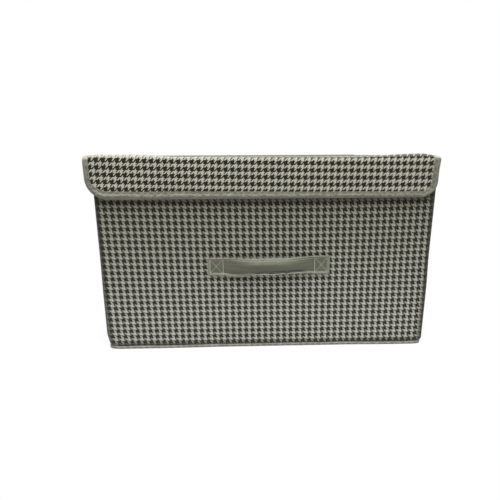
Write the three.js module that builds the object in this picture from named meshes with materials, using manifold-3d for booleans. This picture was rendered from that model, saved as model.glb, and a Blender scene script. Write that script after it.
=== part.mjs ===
// A soft-sided storage box. Its fabric walls are stiffened by boards, and the front edge
// of its hinged lid folds down over the front wall as a flap.
// Millimetres: X runs to the right, Y to the back and Z up, and the origin is the middle
// of the underside.

import * as THREE from 'three';
import { mergeVertices } from 'three/addons/utils/BufferGeometryUtils.js';
import Module from 'manifold-3d';

const wasm = await Module();
wasm.setup();

// The box as a whole

const boxWidth = 420;
const boxDepth = 300;
const boxHeight = 250;
const cornerRadius = 7;
const leastRadius = 1;

// Sheet goods, and the gap that separate pieces keep

const coverThickness = 1.0;
const boardThickness = 2.0;
const liningThickness = 0.8;
const sheetThickness = 0.8;
const tapeThickness = 0.8;
const clearance = 0.3;
const cutOverrun = 5;

// A panel is cover, board and lining, and tape folds round its edge

const boardDepth = coverThickness + clearance;
const liningDepth = boardDepth + boardThickness + clearance;
const panelThickness = liningDepth + liningThickness;
const tapeReach = clearance + tapeThickness;
const tapeWidth = 7.8;

// Boards end short of the corners and seams, so that the fabric can bend there

const boardInset = 9;
const boardCornerRadius = 4;
const sideFoldGap = 9;
const sideFoldDip = 1.2;
const liningFoldDip = 1.0;

// The lid overhangs the walls, and sits a little to the left as sewn

const lidOverhang = 2;
const lidShift = -4.2;
const lidCornerRadius = 10;
const foldRadius = 5;

// The flap hangs clear of the front wall

const flapHeight = 51;
const flapStandoff = 4;
const flapLeftRadius = 25;
const flapRightRadius = 18;
const flapBoardInset = 5;

// Hook-and-loop closure between flap and front wall

const patchWidth = 60;
const patchHeight = 20;
const patchRadius = 3;
const patchDrop = 32;
const loopPatchThickness = 1.6;

// Seam tape along the foot of the walls, folded under them

const footTapeHeight = 6.5;
const footTapeUnder = 9;

// Fabric hinge behind the lid

const hingeStripInset = 14;
const hingeStripDrop = 22;

// Pull strap on the front wall, sewn flat at both ends and bowed out between them

const strapLength = 156;
const strapWidth = 25;
const strapWebThickness = 2.0;
const strapEdgeRadius = 1.5;
const strapSewnLength = 19.5;
const strapBow = 9;
const strapCentreX = 3.1;
const strapCentreZ = 112.8;
const strapRampShare = 0.3;

// Loose insert that stiffens the bottom, a board in a sleeve open at one end

const insertPlay = 2.5;
const insertCornerRadius = 6;

// Counts of facets

const arcSegments = 3;
const creaseSteps = 10;
const strapSteps = 48;

// Heights of the layers, from the floor up

const sheetMarginBottom = tapeThickness + clearance;
const sheetMarginTop = sheetMarginBottom + sheetThickness;
const panelBottom = sheetMarginTop + clearance;
const lidTop = boxHeight - tapeReach;
const lidUnderside = lidTop - panelThickness;
const rimTop = lidUnderside - tapeReach - clearance;
const wallTop = rimTop - tapeReach;

// Places of the lid and flap

const frontFace = -boxDepth / 2;
const lidLeft = lidShift - boxWidth / 2 - lidOverhang;
const lidRight = lidShift + boxWidth / 2 + lidOverhang;
const lidRear = boxDepth / 2 + tapeReach;
const flapInner = frontFace - flapStandoff;
const flapOuter = flapInner - panelThickness;
const flapBottom = boxHeight - flapHeight;
const foldCentreY = flapOuter + foldRadius;
const foldCentreZ = lidTop - foldRadius;
const flapTop = foldCentreZ - clearance;

// Materials

function makeMaterial(color, roughness) {
  return new THREE.MeshStandardMaterial({ color, roughness, metalness: 0 });
}

const printedFabric = makeMaterial(0x6d6c5f, 0.9);
const tapeFabric = makeMaterial(0x767565, 0.88);
const strapFabric = makeMaterial(0x7c7e6d, 0.88);
const liningFabric = makeMaterial(0x77766a, 0.92);
const greyBoard = makeMaterial(0x9b9384, 0.95);
const hookAndLoop = makeMaterial(0x4b4c45, 0.95);

// Solids

function toSolid(geometry) {
  const bare = geometry.index ? geometry.toNonIndexed() : geometry.clone();
  bare.deleteAttribute('normal');
  bare.deleteAttribute('uv');
  const merged = mergeVertices(bare);
  return new wasm.Manifold(
    new wasm.Mesh({
      numProp: 3,
      vertProperties: new Float32Array(merged.attributes.position.array),
      triVerts: new Uint32Array(merged.index.array),
    }),
  );
}

function toGeometry(solid) {
  const mesh = solid.getMesh();
  const geometry = new THREE.BufferGeometry();
  geometry.setAttribute('position', new THREE.BufferAttribute(mesh.vertProperties, 3));
  geometry.setIndex(new THREE.BufferAttribute(mesh.triVerts, 1));
  geometry.computeVertexNormals();
  return geometry;
}

function extrude(shape, depth) {
  return new THREE.ExtrudeGeometry(shape, {
    depth,
    bevelEnabled: false,
    curveSegments: arcSegments,
  });
}

// An outline drawn in X and Y, raised from one height to another
function prismUp(shape, low, high) {
  return toSolid(extrude(shape, high - low).translate(0, 0, low));
}

// An outline drawn in X and Z, from a nearer Y to a farther one
function prismBack(shape, near, far) {
  return toSolid(extrude(shape, far - near).rotateX(Math.PI / 2).translate(0, far, 0));
}

// An outline drawn in Y and Z, from a left X to a right one
function prismAcross(shape, left, right) {
  const turn = new THREE.Matrix4().makeBasis(
    new THREE.Vector3(0, 1, 0),
    new THREE.Vector3(0, 0, 1),
    new THREE.Vector3(1, 0, 0),
  );
  return toSolid(extrude(shape, right - left).applyMatrix4(turn).translate(left, 0, 0));
}

// Outlines

function traceRectangle(path, left, right, low, high, radius) {
  path.moveTo(left + radius, low);
  path.lineTo(right - radius, low);
  path.absarc(right - radius, low + radius, radius, -Math.PI / 2, 0);
  path.lineTo(right, high - radius);
  path.absarc(right - radius, high - radius, radius, 0, Math.PI / 2);
  path.lineTo(left + radius, high);
  path.absarc(left + radius, high - radius, radius, Math.PI / 2, Math.PI);
  path.lineTo(left, low + radius);
  path.absarc(left + radius, low + radius, radius, Math.PI, 1.5 * Math.PI);
  return path;
}

// The crease in the middle of a side wall, a soft dip across the gap between its boards
function traceCrease(path, face, dip, direction) {
  for (let step = 0; step <= creaseSteps; step += 1) {
    const share = (2 * step) / creaseSteps - 1;
    const y = (direction * share * sideFoldGap) / 2;
    path.lineTo(face - (Math.sign(face) * dip * (1 + Math.cos(Math.PI * share))) / 2, y);
  }
}

// A wall layer seen from above, at a depth below the outer face of the cover
function traceWall(path, depth, dip = 0) {
  const right = boxWidth / 2 - depth;
  const back = boxDepth / 2 - depth;
  const radius = Math.max(cornerRadius - depth, leastRadius);
  path.moveTo(radius - right, -back);
  path.lineTo(right - radius, -back);
  path.absarc(right - radius, radius - back, radius, -Math.PI / 2, 0);
  traceCrease(path, right, dip, 1);
  path.absarc(right - radius, back - radius, radius, 0, Math.PI / 2);
  path.lineTo(radius - right, back);
  path.absarc(radius - right, back - radius, radius, Math.PI / 2, Math.PI);
  traceCrease(path, -right, dip, -1);
  path.absarc(radius - right, radius - back, radius, Math.PI, 1.5 * Math.PI);
  return path;
}

function wallRing(outerDepth, innerDepth, low, high, dip = 0) {
  const shape = traceWall(new THREE.Shape(), outerDepth, dip);
  shape.holes.push(traceWall(new THREE.Path(), innerDepth, dip));
  return prismUp(shape, low, high);
}

function wallPlate(depth, low, high) {
  return prismUp(traceWall(new THREE.Shape(), depth), low, high);
}

// The lid seen from above, set in from the outside of its tape, with a square front edge
function lidShape(inset, front) {
  const left = lidLeft + inset;
  const right = lidRight - inset;
  const rear = lidRear - inset;
  const radius = Math.max(lidCornerRadius - inset, leastRadius);
  const shape = new THREE.Shape();
  shape.moveTo(left, front);
  shape.lineTo(right, front);
  shape.absarc(right - radius, rear - radius, radius, 0, Math.PI / 2);
  shape.absarc(left + radius, rear - radius, radius, Math.PI / 2, Math.PI);
  return shape;
}

// The flap seen from the front, set in from the outside of its tape, with a square top
function flapShape(inset, top) {
  const left = lidLeft + inset;
  const right = lidRight - inset;
  const bottom = flapBottom + inset;
  const leftRadius = Math.max(flapLeftRadius - inset, leastRadius);
  const rightRadius = Math.max(flapRightRadius - inset, leastRadius);
  const shape = new THREE.Shape();
  shape.moveTo(right, top);
  shape.lineTo(left, top);
  shape.absarc(left + leftRadius, bottom + leftRadius, leftRadius, Math.PI, 1.5 * Math.PI);
  shape.absarc(right - rightRadius, bottom + rightRadius, rightRadius, -Math.PI / 2, 0);
  return shape;
}

// A quarter of a disc about the middle of the lid's fold, seen from the right
function foldSector(radius) {
  const shape = new THREE.Shape();
  shape.moveTo(foldCentreY, foldCentreZ);
  shape.lineTo(foldCentreY, foldCentreZ + radius);
  shape.absarc(foldCentreY, foldCentreZ, radius, Math.PI / 2, Math.PI);
  return shape;
}

// Walls

function makeFrontAndSidesCover() {
  const ring = wallRing(0, coverThickness, sheetMarginBottom, wallTop, sideFoldDip);
  const seam = boxDepth / 2 - cornerRadius - clearance;
  return ring.trimByPlane([0, -1, 0], -seam);
}

function makeBackCover() {
  const ring = wallRing(0, coverThickness, sheetMarginBottom, wallTop, sideFoldDip);
  return ring.trimByPlane([0, 1, 0], boxDepth / 2 - cornerRadius);
}

function makeInnerLining() {
  return wallRing(liningDepth, panelThickness, panelBottom, wallTop, -liningFoldDip);
}

// A wall board lying flat about its own middle
function makeBoard(width, height) {
  const shape = traceRectangle(
    new THREE.Shape(),
    -width / 2,
    width / 2,
    -height / 2,
    height / 2,
    boardCornerRadius,
  );
  return extrude(shape, boardThickness).translate(0, 0, -boardThickness / 2);
}

// The bottom sheet lies on the floor inside the foot tape, and its margin steps over it
function makeBottomSheet() {
  const step = footTapeUnder + clearance;
  const margin = prismUp(
    traceWall(new THREE.Shape(), coverThickness + clearance, sideFoldDip),
    sheetMarginBottom,
    sheetMarginTop,
  );
  const pan = wallPlate(step, 0, (sheetMarginBottom + sheetMarginTop) / 2);
  const hollow = wallPlate(step + sheetThickness, sheetThickness, boxHeight);
  return margin.add(pan).subtract(hollow);
}

function makeBottomBinding() {
  const upright = wallRing(-tapeReach, -clearance, 0, footTapeHeight);
  const under = wallRing(-tapeReach, footTapeUnder, 0, tapeThickness);
  return upright.add(under);
}

function makeRimBinding() {
  const low = rimTop - tapeWidth;
  const outside = wallRing(-tapeReach, panelThickness + tapeReach, low, rimTop);
  const channelTop = rimTop - tapeThickness;
  const channel = wallRing(-clearance, panelThickness + clearance, low - cutOverrun, channelTop);
  return outside.subtract(channel);
}

function makeHingeStrip() {
  const near = lidRear + clearance;
  const low = rimTop - hingeStripDrop;
  const shape = traceRectangle(
    new THREE.Shape(),
    lidLeft + hingeStripInset,
    lidRight - hingeStripInset,
    low,
    lidTop,
    leastRadius,
  );
  return prismBack(shape, near, near + coverThickness);
}

// Pull strap

class StrapPath extends THREE.Curve {
  getPoint(share, target = new THREE.Vector3()) {
    const along = share * strapLength;
    const freeLength = strapLength - 2 * strapSewnLength;
    const fromSeam = Math.min(along, strapLength - along) - strapSewnLength;
    const rise = THREE.MathUtils.smoothstep(fromSeam, 0, freeLength * strapRampShare);
    const seat = frontFace - clearance - strapEdgeRadius;
    return target.set(
      strapCentreX - strapLength / 2 + along,
      seat - strapBow * rise,
      strapCentreZ,
    );
  }
}

// Across the strap, a flat web between two rolled edges
function strapSection() {
  const middle = strapWidth / 2 - strapEdgeRadius;
  const meeting = Math.asin(strapWebThickness / 2 / strapEdgeRadius);
  const shape = new THREE.Shape();
  shape.absarc(middle, 0, strapEdgeRadius, meeting - Math.PI, Math.PI - meeting);
  shape.absarc(-middle, 0, strapEdgeRadius, meeting, 2 * Math.PI - meeting);
  return shape;
}

function makePullStrap() {
  return new THREE.ExtrudeGeometry(strapSection(), {
    steps: strapSteps,
    curveSegments: arcSegments,
    extrudePath: new StrapPath(),
  });
}

// Closure patches, standing in X and Z

function makePatch(near, far) {
  const middle = foldCentreZ - patchDrop + patchHeight / 2;
  const shape = traceRectangle(
    new THREE.Shape(),
    lidShift - patchWidth / 2,
    lidShift + patchWidth / 2,
    middle - patchHeight / 2,
    middle + patchHeight / 2,
    patchRadius,
  );
  return prismBack(shape, near, far);
}

const loopFar = frontFace - clearance;
const loopNear = loopFar - loopPatchThickness;
const hookFar = loopNear - clearance;
const hookNear = flapInner + clearance;

// Lid

function makeLidCover() {
  const sheet = prismUp(lidShape(tapeReach, foldCentreY), lidTop - coverThickness, lidTop);
  const left = lidLeft + tapeReach;
  const right = lidRight - tapeReach;
  const core = prismAcross(
    foldSector(foldRadius - coverThickness),
    left - cutOverrun,
    right + cutOverrun,
  );
  const fold = prismAcross(foldSector(foldRadius), left, right).subtract(core);
  return sheet.add(fold);
}

function makeLidBoard() {
  const top = lidTop - boardDepth;
  const shape = traceRectangle(
    new THREE.Shape(),
    lidLeft + boardInset,
    lidRight - boardInset,
    foldCentreY + boardInset,
    lidRear - boardInset,
    boardCornerRadius,
  );
  return prismUp(shape, top - boardThickness, top);
}

function makeLidLining() {
  return prismUp(
    lidShape(tapeReach, flapInner),
    lidUnderside,
    lidUnderside + liningThickness,
  );
}

// The tape folds round the sides and rear of the lid, and runs on down over the fold
function makeLidBinding() {
  const front = foldCentreY - cutOverrun;
  const low = lidUnderside - tapeReach;
  const plate = prismUp(lidShape(0, foldCentreY), low, boxHeight);
  const open = prismUp(lidShape(tapeWidth, front), low - cutOverrun, boxHeight + cutOverrun);
  const channel = prismUp(
    lidShape(tapeThickness, front),
    lidUnderside - clearance,
    lidTop + clearance,
  );
  const flapRoom = prismUp(
    lidShape(-cutOverrun, front),
    low - cutOverrun,
    lidUnderside - clearance,
  ).trimByPlane([0, -1, 0], -(flapInner + tapeReach + clearance));
  const foldTape = (left, right, coreLeft, coreRight) => {
    const outer = prismAcross(foldSector(foldRadius + tapeReach), left, right);
    const core = prismAcross(foldSector(foldRadius + clearance), coreLeft, coreRight);
    return outer.subtract(core);
  };
  const leftFold = foldTape(
    lidLeft,
    lidLeft + tapeWidth,
    lidLeft + tapeThickness,
    lidLeft + tapeWidth + cutOverrun,
  );
  const rightFold = foldTape(
    lidRight - tapeWidth,
    lidRight,
    lidRight - tapeWidth - cutOverrun,
    lidRight - tapeThickness,
  );
  const sides = plate.subtract(open).subtract(channel).subtract(flapRoom);
  return sides.add(leftFold).add(rightFold);
}

// Flap

function makeFlapCover() {
  return prismBack(flapShape(tapeReach, flapTop), flapOuter, flapOuter + coverThickness);
}

function makeFlapBoard() {
  const near = flapOuter + boardDepth;
  const shape = flapShape(tapeReach + flapBoardInset, flapTop - flapBoardInset);
  return prismBack(shape, near, near + boardThickness);
}

function makeFlapLining() {
  return prismBack(flapShape(tapeReach, flapTop), flapInner - liningThickness, flapInner);
}

// The tape folds round the sides, the soft lower corners and the lower edge of the flap
function makeFlapBinding() {
  const near = flapOuter - tapeReach;
  const far = flapInner + tapeReach;
  const plate = prismBack(flapShape(0, flapTop), near, far);
  const open = prismBack(
    flapShape(tapeWidth, flapTop + cutOverrun),
    near - cutOverrun,
    far + cutOverrun,
  );
  const channel = prismBack(
    flapShape(tapeThickness, flapTop + cutOverrun),
    flapOuter - clearance,
    flapInner + clearance,
  );
  return plate.subtract(open).subtract(channel);
}

// Insert

const insertRight = boxWidth / 2 - panelThickness - insertPlay;
const insertBack = boxDepth / 2 - panelThickness - insertPlay;
const sleeveBottom = panelBottom;
const insertBoardBottom = sleeveBottom + sheetThickness + clearance;
const insertBoardTop = insertBoardBottom + boardThickness;
const sleeveTop = insertBoardTop + clearance + sheetThickness;

function insertPlate(inset, right, low, high, radius) {
  const shape = traceRectangle(
    new THREE.Shape(),
    inset - insertRight,
    right,
    inset - insertBack,
    insertBack - inset,
    radius,
  );
  return prismUp(shape, low, high);
}

function makeBaseSleeve() {
  const outside = insertPlate(0, insertRight, sleeveBottom, sleeveTop, insertCornerRadius);
  const pocket = insertPlate(
    sheetThickness,
    insertRight + cutOverrun,
    sleeveBottom + sheetThickness,
    sleeveTop - sheetThickness,
    insertCornerRadius - sheetThickness,
  );
  return outside.subtract(pocket);
}

function makeBaseBoard() {
  const inset = sheetThickness + clearance;
  return insertPlate(
    inset,
    insertRight - inset,
    insertBoardBottom,
    insertBoardTop,
    insertCornerRadius - inset,
  );
}

// Assembly

function addPiece(group, name, shape, material) {
  const geometry = shape.isBufferGeometry ? shape : toGeometry(shape);
  const mesh = new THREE.Mesh(geometry, material);
  mesh.name = name;
  group.add(mesh);
  return mesh;
}

function addWallBoards(group) {
  const bottom = panelBottom + clearance;
  const height = wallTop - clearance - bottom;
  const middle = bottom + height / 2;
  const inward = boardDepth + boardThickness / 2;
  const longBoard = makeBoard(boxWidth - 2 * boardInset, height);
  for (const [name, side] of [
    ['front_board', -1],
    ['back_board', 1],
  ]) {
    const board = addPiece(group, name, longBoard, greyBoard);
    board.rotation.x = Math.PI / 2;
    board.position.set(0, side * (boxDepth / 2 - inward), middle);
  }
  const halfLength = boxDepth / 2 - boardInset - sideFoldGap / 2;
  const halfMiddle = sideFoldGap / 2 + halfLength / 2;
  const sideBoard = makeBoard(height, halfLength);
  for (const [sideName, side] of [
    ['left', -1],
    ['right', 1],
  ]) {
    for (const [endName, end] of [
      ['front', -1],
      ['rear', 1],
    ]) {
      const board = addPiece(group, `${sideName}_board_${endName}`, sideBoard, greyBoard);
      board.rotation.y = Math.PI / 2;
      board.position.set(side * (boxWidth / 2 - inward), end * halfMiddle, middle);
    }
  }
}

const walls = new THREE.Group();
addPiece(walls, 'front_and_sides_cover', makeFrontAndSidesCover(), printedFabric);
addPiece(walls, 'back_cover', makeBackCover(), printedFabric);
addWallBoards(walls);
addPiece(walls, 'inner_lining', makeInnerLining(), liningFabric);
addPiece(walls, 'bottom_sheet', makeBottomSheet(), liningFabric);
addPiece(walls, 'bottom_binding', makeBottomBinding(), tapeFabric);
addPiece(walls, 'rim_binding', makeRimBinding(), tapeFabric);
addPiece(walls, 'hinge_strip', makeHingeStrip(), tapeFabric);
addPiece(walls, 'pull_strap', makePullStrap(), strapFabric);
addPiece(walls, 'loop_patch', makePatch(loopNear, loopFar), hookAndLoop);

const flap = new THREE.Group();
addPiece(flap, 'flap_cover', makeFlapCover(), printedFabric);
addPiece(flap, 'flap_board', makeFlapBoard(), greyBoard);
addPiece(flap, 'flap_lining', makeFlapLining(), liningFabric);
addPiece(flap, 'flap_binding', makeFlapBinding(), tapeFabric);
addPiece(flap, 'hook_patch', makePatch(hookNear, hookFar), hookAndLoop);

const lid = new THREE.Group();
addPiece(lid, 'lid_cover', makeLidCover(), printedFabric);
addPiece(lid, 'lid_board', makeLidBoard(), greyBoard);
addPiece(lid, 'lid_lining', makeLidLining(), liningFabric);
addPiece(lid, 'lid_binding', makeLidBinding(), tapeFabric);
lid.add(flap);

const insert = new THREE.Group();
addPiece(insert, 'base_sleeve', makeBaseSleeve(), liningFabric);
addPiece(insert, 'base_board', makeBaseBoard(), greyBoard);

const storageBox = new THREE.Group();
storageBox.name = 'storage_box';
storageBox.add(walls, lid, insert);

export default storageBox;
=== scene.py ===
"""The looks of a lidded storage box in printed cloth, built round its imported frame.

Every piece of cloth is cut flat, in metres, and then laid on the box: round the walls, or over the
lid and down its folded front. The boards inside are the frame's own solids with a cardboard finish.
"""

import functools
import logging
import math
from collections.abc import Callable
from dataclasses import dataclass, field
from enum import Enum

import bmesh
import bpy
import numpy as np
from mathutils import Matrix, Vector


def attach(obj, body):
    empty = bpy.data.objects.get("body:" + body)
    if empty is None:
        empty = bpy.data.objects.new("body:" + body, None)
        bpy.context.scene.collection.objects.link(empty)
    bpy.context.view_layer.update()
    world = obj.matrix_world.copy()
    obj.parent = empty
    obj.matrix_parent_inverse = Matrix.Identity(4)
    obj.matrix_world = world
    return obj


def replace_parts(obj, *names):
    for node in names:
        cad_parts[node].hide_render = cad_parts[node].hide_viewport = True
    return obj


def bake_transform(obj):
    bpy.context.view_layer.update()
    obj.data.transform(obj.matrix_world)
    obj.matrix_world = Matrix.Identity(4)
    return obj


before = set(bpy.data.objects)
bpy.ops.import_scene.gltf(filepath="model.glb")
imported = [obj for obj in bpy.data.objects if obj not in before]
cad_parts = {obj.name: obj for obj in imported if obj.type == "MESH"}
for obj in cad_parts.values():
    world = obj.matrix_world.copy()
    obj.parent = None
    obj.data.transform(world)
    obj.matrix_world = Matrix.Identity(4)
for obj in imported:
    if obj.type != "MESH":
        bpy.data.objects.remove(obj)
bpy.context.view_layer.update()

LOG = logging.getLogger("storage_box")
Piece = bpy.types.Object
MM = 0.001
# The print's repeat, a stitch and its spacing, how far a seam lies inside a tape's outermost line,
# the width of a folded tape, and the thickness of a wall or the lid.
REPEAT = 8.25 * MM
STITCH_LENGTH = 2.3 * MM
STITCH_PITCH = 3.2 * MM
SEAM_INSET = 6.6 * MM
TAPE_WIDTH = 7.8 * MM
PANEL = 4.4 * MM


class Body(Enum):
    """The bodies of the frame that pieces ride on."""

    WALLS = "walls"
    LID = "lid"
    FLAP = "flap"
    INSERT = "base_insert"


class Slot(Enum):
    """The finishes that the record names."""

    PRINT = "printed_fabric"
    TAPE = "binding_tape"
    STRAP = "strap_fabric"
    LINING = "lining_fabric"
    BOARD = "grey_board"
    FASTENER = "hook_and_loop"


# Numbers, waves and outlines


def smooth(value: np.ndarray, low: float, high: float) -> np.ndarray:
    """Rises smoothly from 0 at low to 1 at high.

    Args:
        value: The places to look at.
        low: Where the rise starts.
        high: Where it ends; it may be below low, for a fall.

    Returns:
        The height of the rise at each place.
    """
    share = np.clip((value - low) / (high - low), 0, 1)
    return share * share * (3 - 2 * share)


def stations(
    low: float, high: float, step: float, fine: tuple[float, float, float] | None = None
) -> np.ndarray:
    """Places along a line, closer together in one stretch.

    Args:
        low: The first place.
        high: The last place.
        step: The usual distance between places.
        fine: The start, end and step of a stretch that needs more of them.

    Returns:
        The places in rising order.
    """
    count = max(2, math.ceil((high - low) / step) + 1)
    places = np.linspace(low, high, count)
    if fine:
        start, end, fine_step = fine
        extra = np.linspace(start, end, max(2, math.ceil((end - start) / fine_step) + 1))
        places = places[(places < start - fine_step / 2) | (places > end + fine_step / 2)]
        places = np.sort(np.concatenate([places, extra[(extra >= low) & (extra <= high)]]))
    return places


class Ripples:
    """The shallow waves of a sewn cloth: a sum of long waves, the same on every run."""

    # The sum of the waves, in units of its usual height, is seldom higher than this.
    tallest = 2.6

    def __init__(self, seed: int, shortest: float, longest: float, count: int = 10) -> None:
        """Draws the waves.

        Args:
            seed: Which set of waves.
            shortest: The shortest wavelength, in metres.
            longest: The longest.
            count: How many waves are added.
        """
        draw = np.random.default_rng(seed)
        lengths = draw.uniform(shortest, longest, count)
        turns = draw.uniform(0, math.tau, count)
        self.shifts = draw.uniform(0, math.tau, count)
        self.along = np.cos(turns) * math.tau / lengths
        self.across = np.sin(turns) * math.tau / lengths

    def at(self, x: np.ndarray, y: np.ndarray) -> np.ndarray:
        """The waves' height, from about 0 to 1.

        Args:
            x: Places along the cloth, in metres.
            y: Places across it.

        Returns:
            The height at each place.
        """
        angle = np.multiply.outer(x, self.along) + np.multiply.outer(y, self.across) + self.shifts
        waves = np.cos(angle).sum(axis=-1) / math.sqrt(2 * len(self.shifts))
        return np.clip(0.5 + waves / self.tallest, 0, 1)


class Wobble:
    """A smooth uneven line, the same on every run, for the puckers of a sewn tape."""

    def __init__(self, seed: int, spacing: float, length: float) -> None:
        """Draws the line.

        Args:
            seed: Which line.
            spacing: The distance between its knots, in metres.
            length: How long it is before it starts again.
        """
        self.knots = np.random.default_rng(seed).uniform(-1, 1, max(4, round(length / spacing)))
        self.length = length

    def at(self, along: np.ndarray) -> np.ndarray:
        """The line's height, from -1 to 1.

        Args:
            along: Places along the tape, in metres.

        Returns:
            The height at each place.
        """
        place = (along / self.length % 1) * len(self.knots)
        index = np.floor(place).astype(int) % len(self.knots)
        share = smooth(place - np.floor(place), 0, 1)
        following = self.knots[(index + 1) % len(self.knots)]
        return self.knots[index] * (1 - share) + following * share


@dataclass
class Outline:
    """A line in a flat cloth, with the direction that points out of the cloth at each place."""

    points: np.ndarray
    out: np.ndarray

    @property
    def along(self) -> np.ndarray:
        """The length of the line up to each place, in metres."""
        steps = np.linalg.norm(np.diff(self.points, axis=0), axis=1)
        return np.concatenate([[0], np.cumsum(steps)])

    def moved(self, distance: float) -> "Outline":
        """The same line, moved out of the cloth by a distance."""
        return Outline(self.points + self.out * distance, self.out)

    def rings(self, section: np.ndarray) -> np.ndarray:
        """The same section at each place of the line, for band()."""
        return np.repeat(section[None], len(self.points), axis=0)

    def finer(self, low: float, high: float, pieces: int) -> "Outline":
        """The same line with more places in one stretch.

        Args:
            low: The lower end of the stretch, across the cloth.
            high: Its upper end.
            pieces: How many steps each step there becomes.

        Returns:
            The finer line.
        """
        points, out = [self.points[0]], [self.out[0]]
        for index in range(1, len(self.points)):
            middle = (self.points[index - 1, 1] + self.points[index, 1]) / 2
            count = pieces if low < middle < high else 1
            for part in range(1, count + 1):
                share = part / count
                points.append(self.points[index - 1] * (1 - share) + self.points[index] * share)
                turned = self.out[index - 1] * (1 - share) + self.out[index] * share
                out.append(turned / np.linalg.norm(turned))
        return Outline(np.array(points), np.array(out))

    def paced(self, spacing: float) -> tuple[np.ndarray, np.ndarray]:
        """Evenly spaced places along the line.

        Args:
            spacing: About how far apart they are, in metres.

        Returns:
            The places, and the direction of the line at each.
        """
        along = self.along
        count = max(1, round(along[-1] / spacing))
        wanted = (np.arange(count) + 0.5) * along[-1] / count
        places = np.stack([np.interp(wanted, along, self.points[:, k]) for k in (0, 1)], axis=1)
        out = np.stack([np.interp(wanted, along, self.out[:, k]) for k in (0, 1)], axis=1)
        out /= np.linalg.norm(out, axis=1, keepdims=True)
        return places, np.stack([-out[:, 1], out[:, 0]], axis=1)


def rounded(
    low: tuple[float, float], high: tuple[float, float], radii: list[float], step: float
) -> Outline:
    """The closed outline of a rectangle with round corners.

    Args:
        low: Its lower left corner, in metres.
        high: Its upper right corner.
        radii: The radius of each corner, anticlockwise from the lower left one.
        step: The distance between places on the straight stretches.

    Returns:
        The outline, whose last place is its first again.
    """
    corners = [low, (high[0], low[1]), high, (low[0], high[1])]
    count = len(corners)
    points: list[np.ndarray] = []
    out: list[np.ndarray] = []
    for index in range(count):
        here, before, after = (np.array(corners[(index + k) % count]) for k in (0, -1, 1))
        coming = (here - before) / np.linalg.norm(here - before)
        going = (after - here) / np.linalg.norm(after - here)
        radius = radii[index]
        side = np.array([coming[1], -coming[0]])
        centre = here - coming * radius - side * radius
        turn = math.atan2(coming[0] * going[1] - coming[1] * going[0], coming @ going)
        pieces = max(6, math.ceil(radius * turn / (1.2 * MM)))
        for part in range(pieces + 1):
            angle = turn * part / pieces
            normal = side * math.cos(angle) + coming * math.sin(angle)
            points.append(centre + normal * radius)
            out.append(normal)
        start = points[-1]
        end = after - going * radii[(index + 1) % count]
        parts = max(1, math.ceil(np.linalg.norm(end - start) / step))
        for part in range(1, parts):
            points.append(start + (end - start) * part / parts)
            out.append(out[-1])
    points.append(points[0])
    out.append(out[0])
    return Outline(np.array(points), np.array(out))


def straight(start: tuple[float, float], end: tuple[float, float]) -> Outline:
    """A straight line between two places.

    Args:
        start: Where it starts.
        end: Where it ends.

    Returns:
        The line, whose outer side is on its right.
    """
    points = np.array([start, end])
    way = (points[1] - points[0]) / np.linalg.norm(points[1] - points[0])
    return Outline(points, np.tile([way[1], -way[0]], (2, 1)))


def level(places: np.ndarray, height: float = 0.0, out: float = 1.0) -> Outline:
    """A level line along the edge of a cloth.

    Args:
        places: Its places along the cloth.
        height: Its height.
        out: 1 where the cloth ends upwards there, or -1 where it ends downwards.

    Returns:
        The line.
    """
    points = np.stack([places, np.full_like(places, height)], axis=1)
    return Outline(points, np.tile([0.0, out], (len(places), 1)))


# The ways a flat cloth lies on the box


class Lay:
    """A flat cloth as it is cut: X along it, Y across it and Z out of its face."""

    def carry(self, flat: np.ndarray) -> np.ndarray:
        """Where places of the flat cloth end up; here they stay.

        Args:
            flat: The places, one in each row.

        Returns:
            The same places on the box.
        """
        return flat


@dataclass
class FaceLay(Lay):
    """Something flat on the front or back: X to its viewer's right, Y up, Z towards the viewer."""

    face_y: float
    back: bool = False

    def carry(self, flat: np.ndarray) -> np.ndarray:
        """Where flat places end up on the front or back."""
        side = 1 if self.back else -1
        return np.stack([-side * flat[:, 0], self.face_y + side * flat[:, 2], flat[:, 1]], axis=1)


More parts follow.
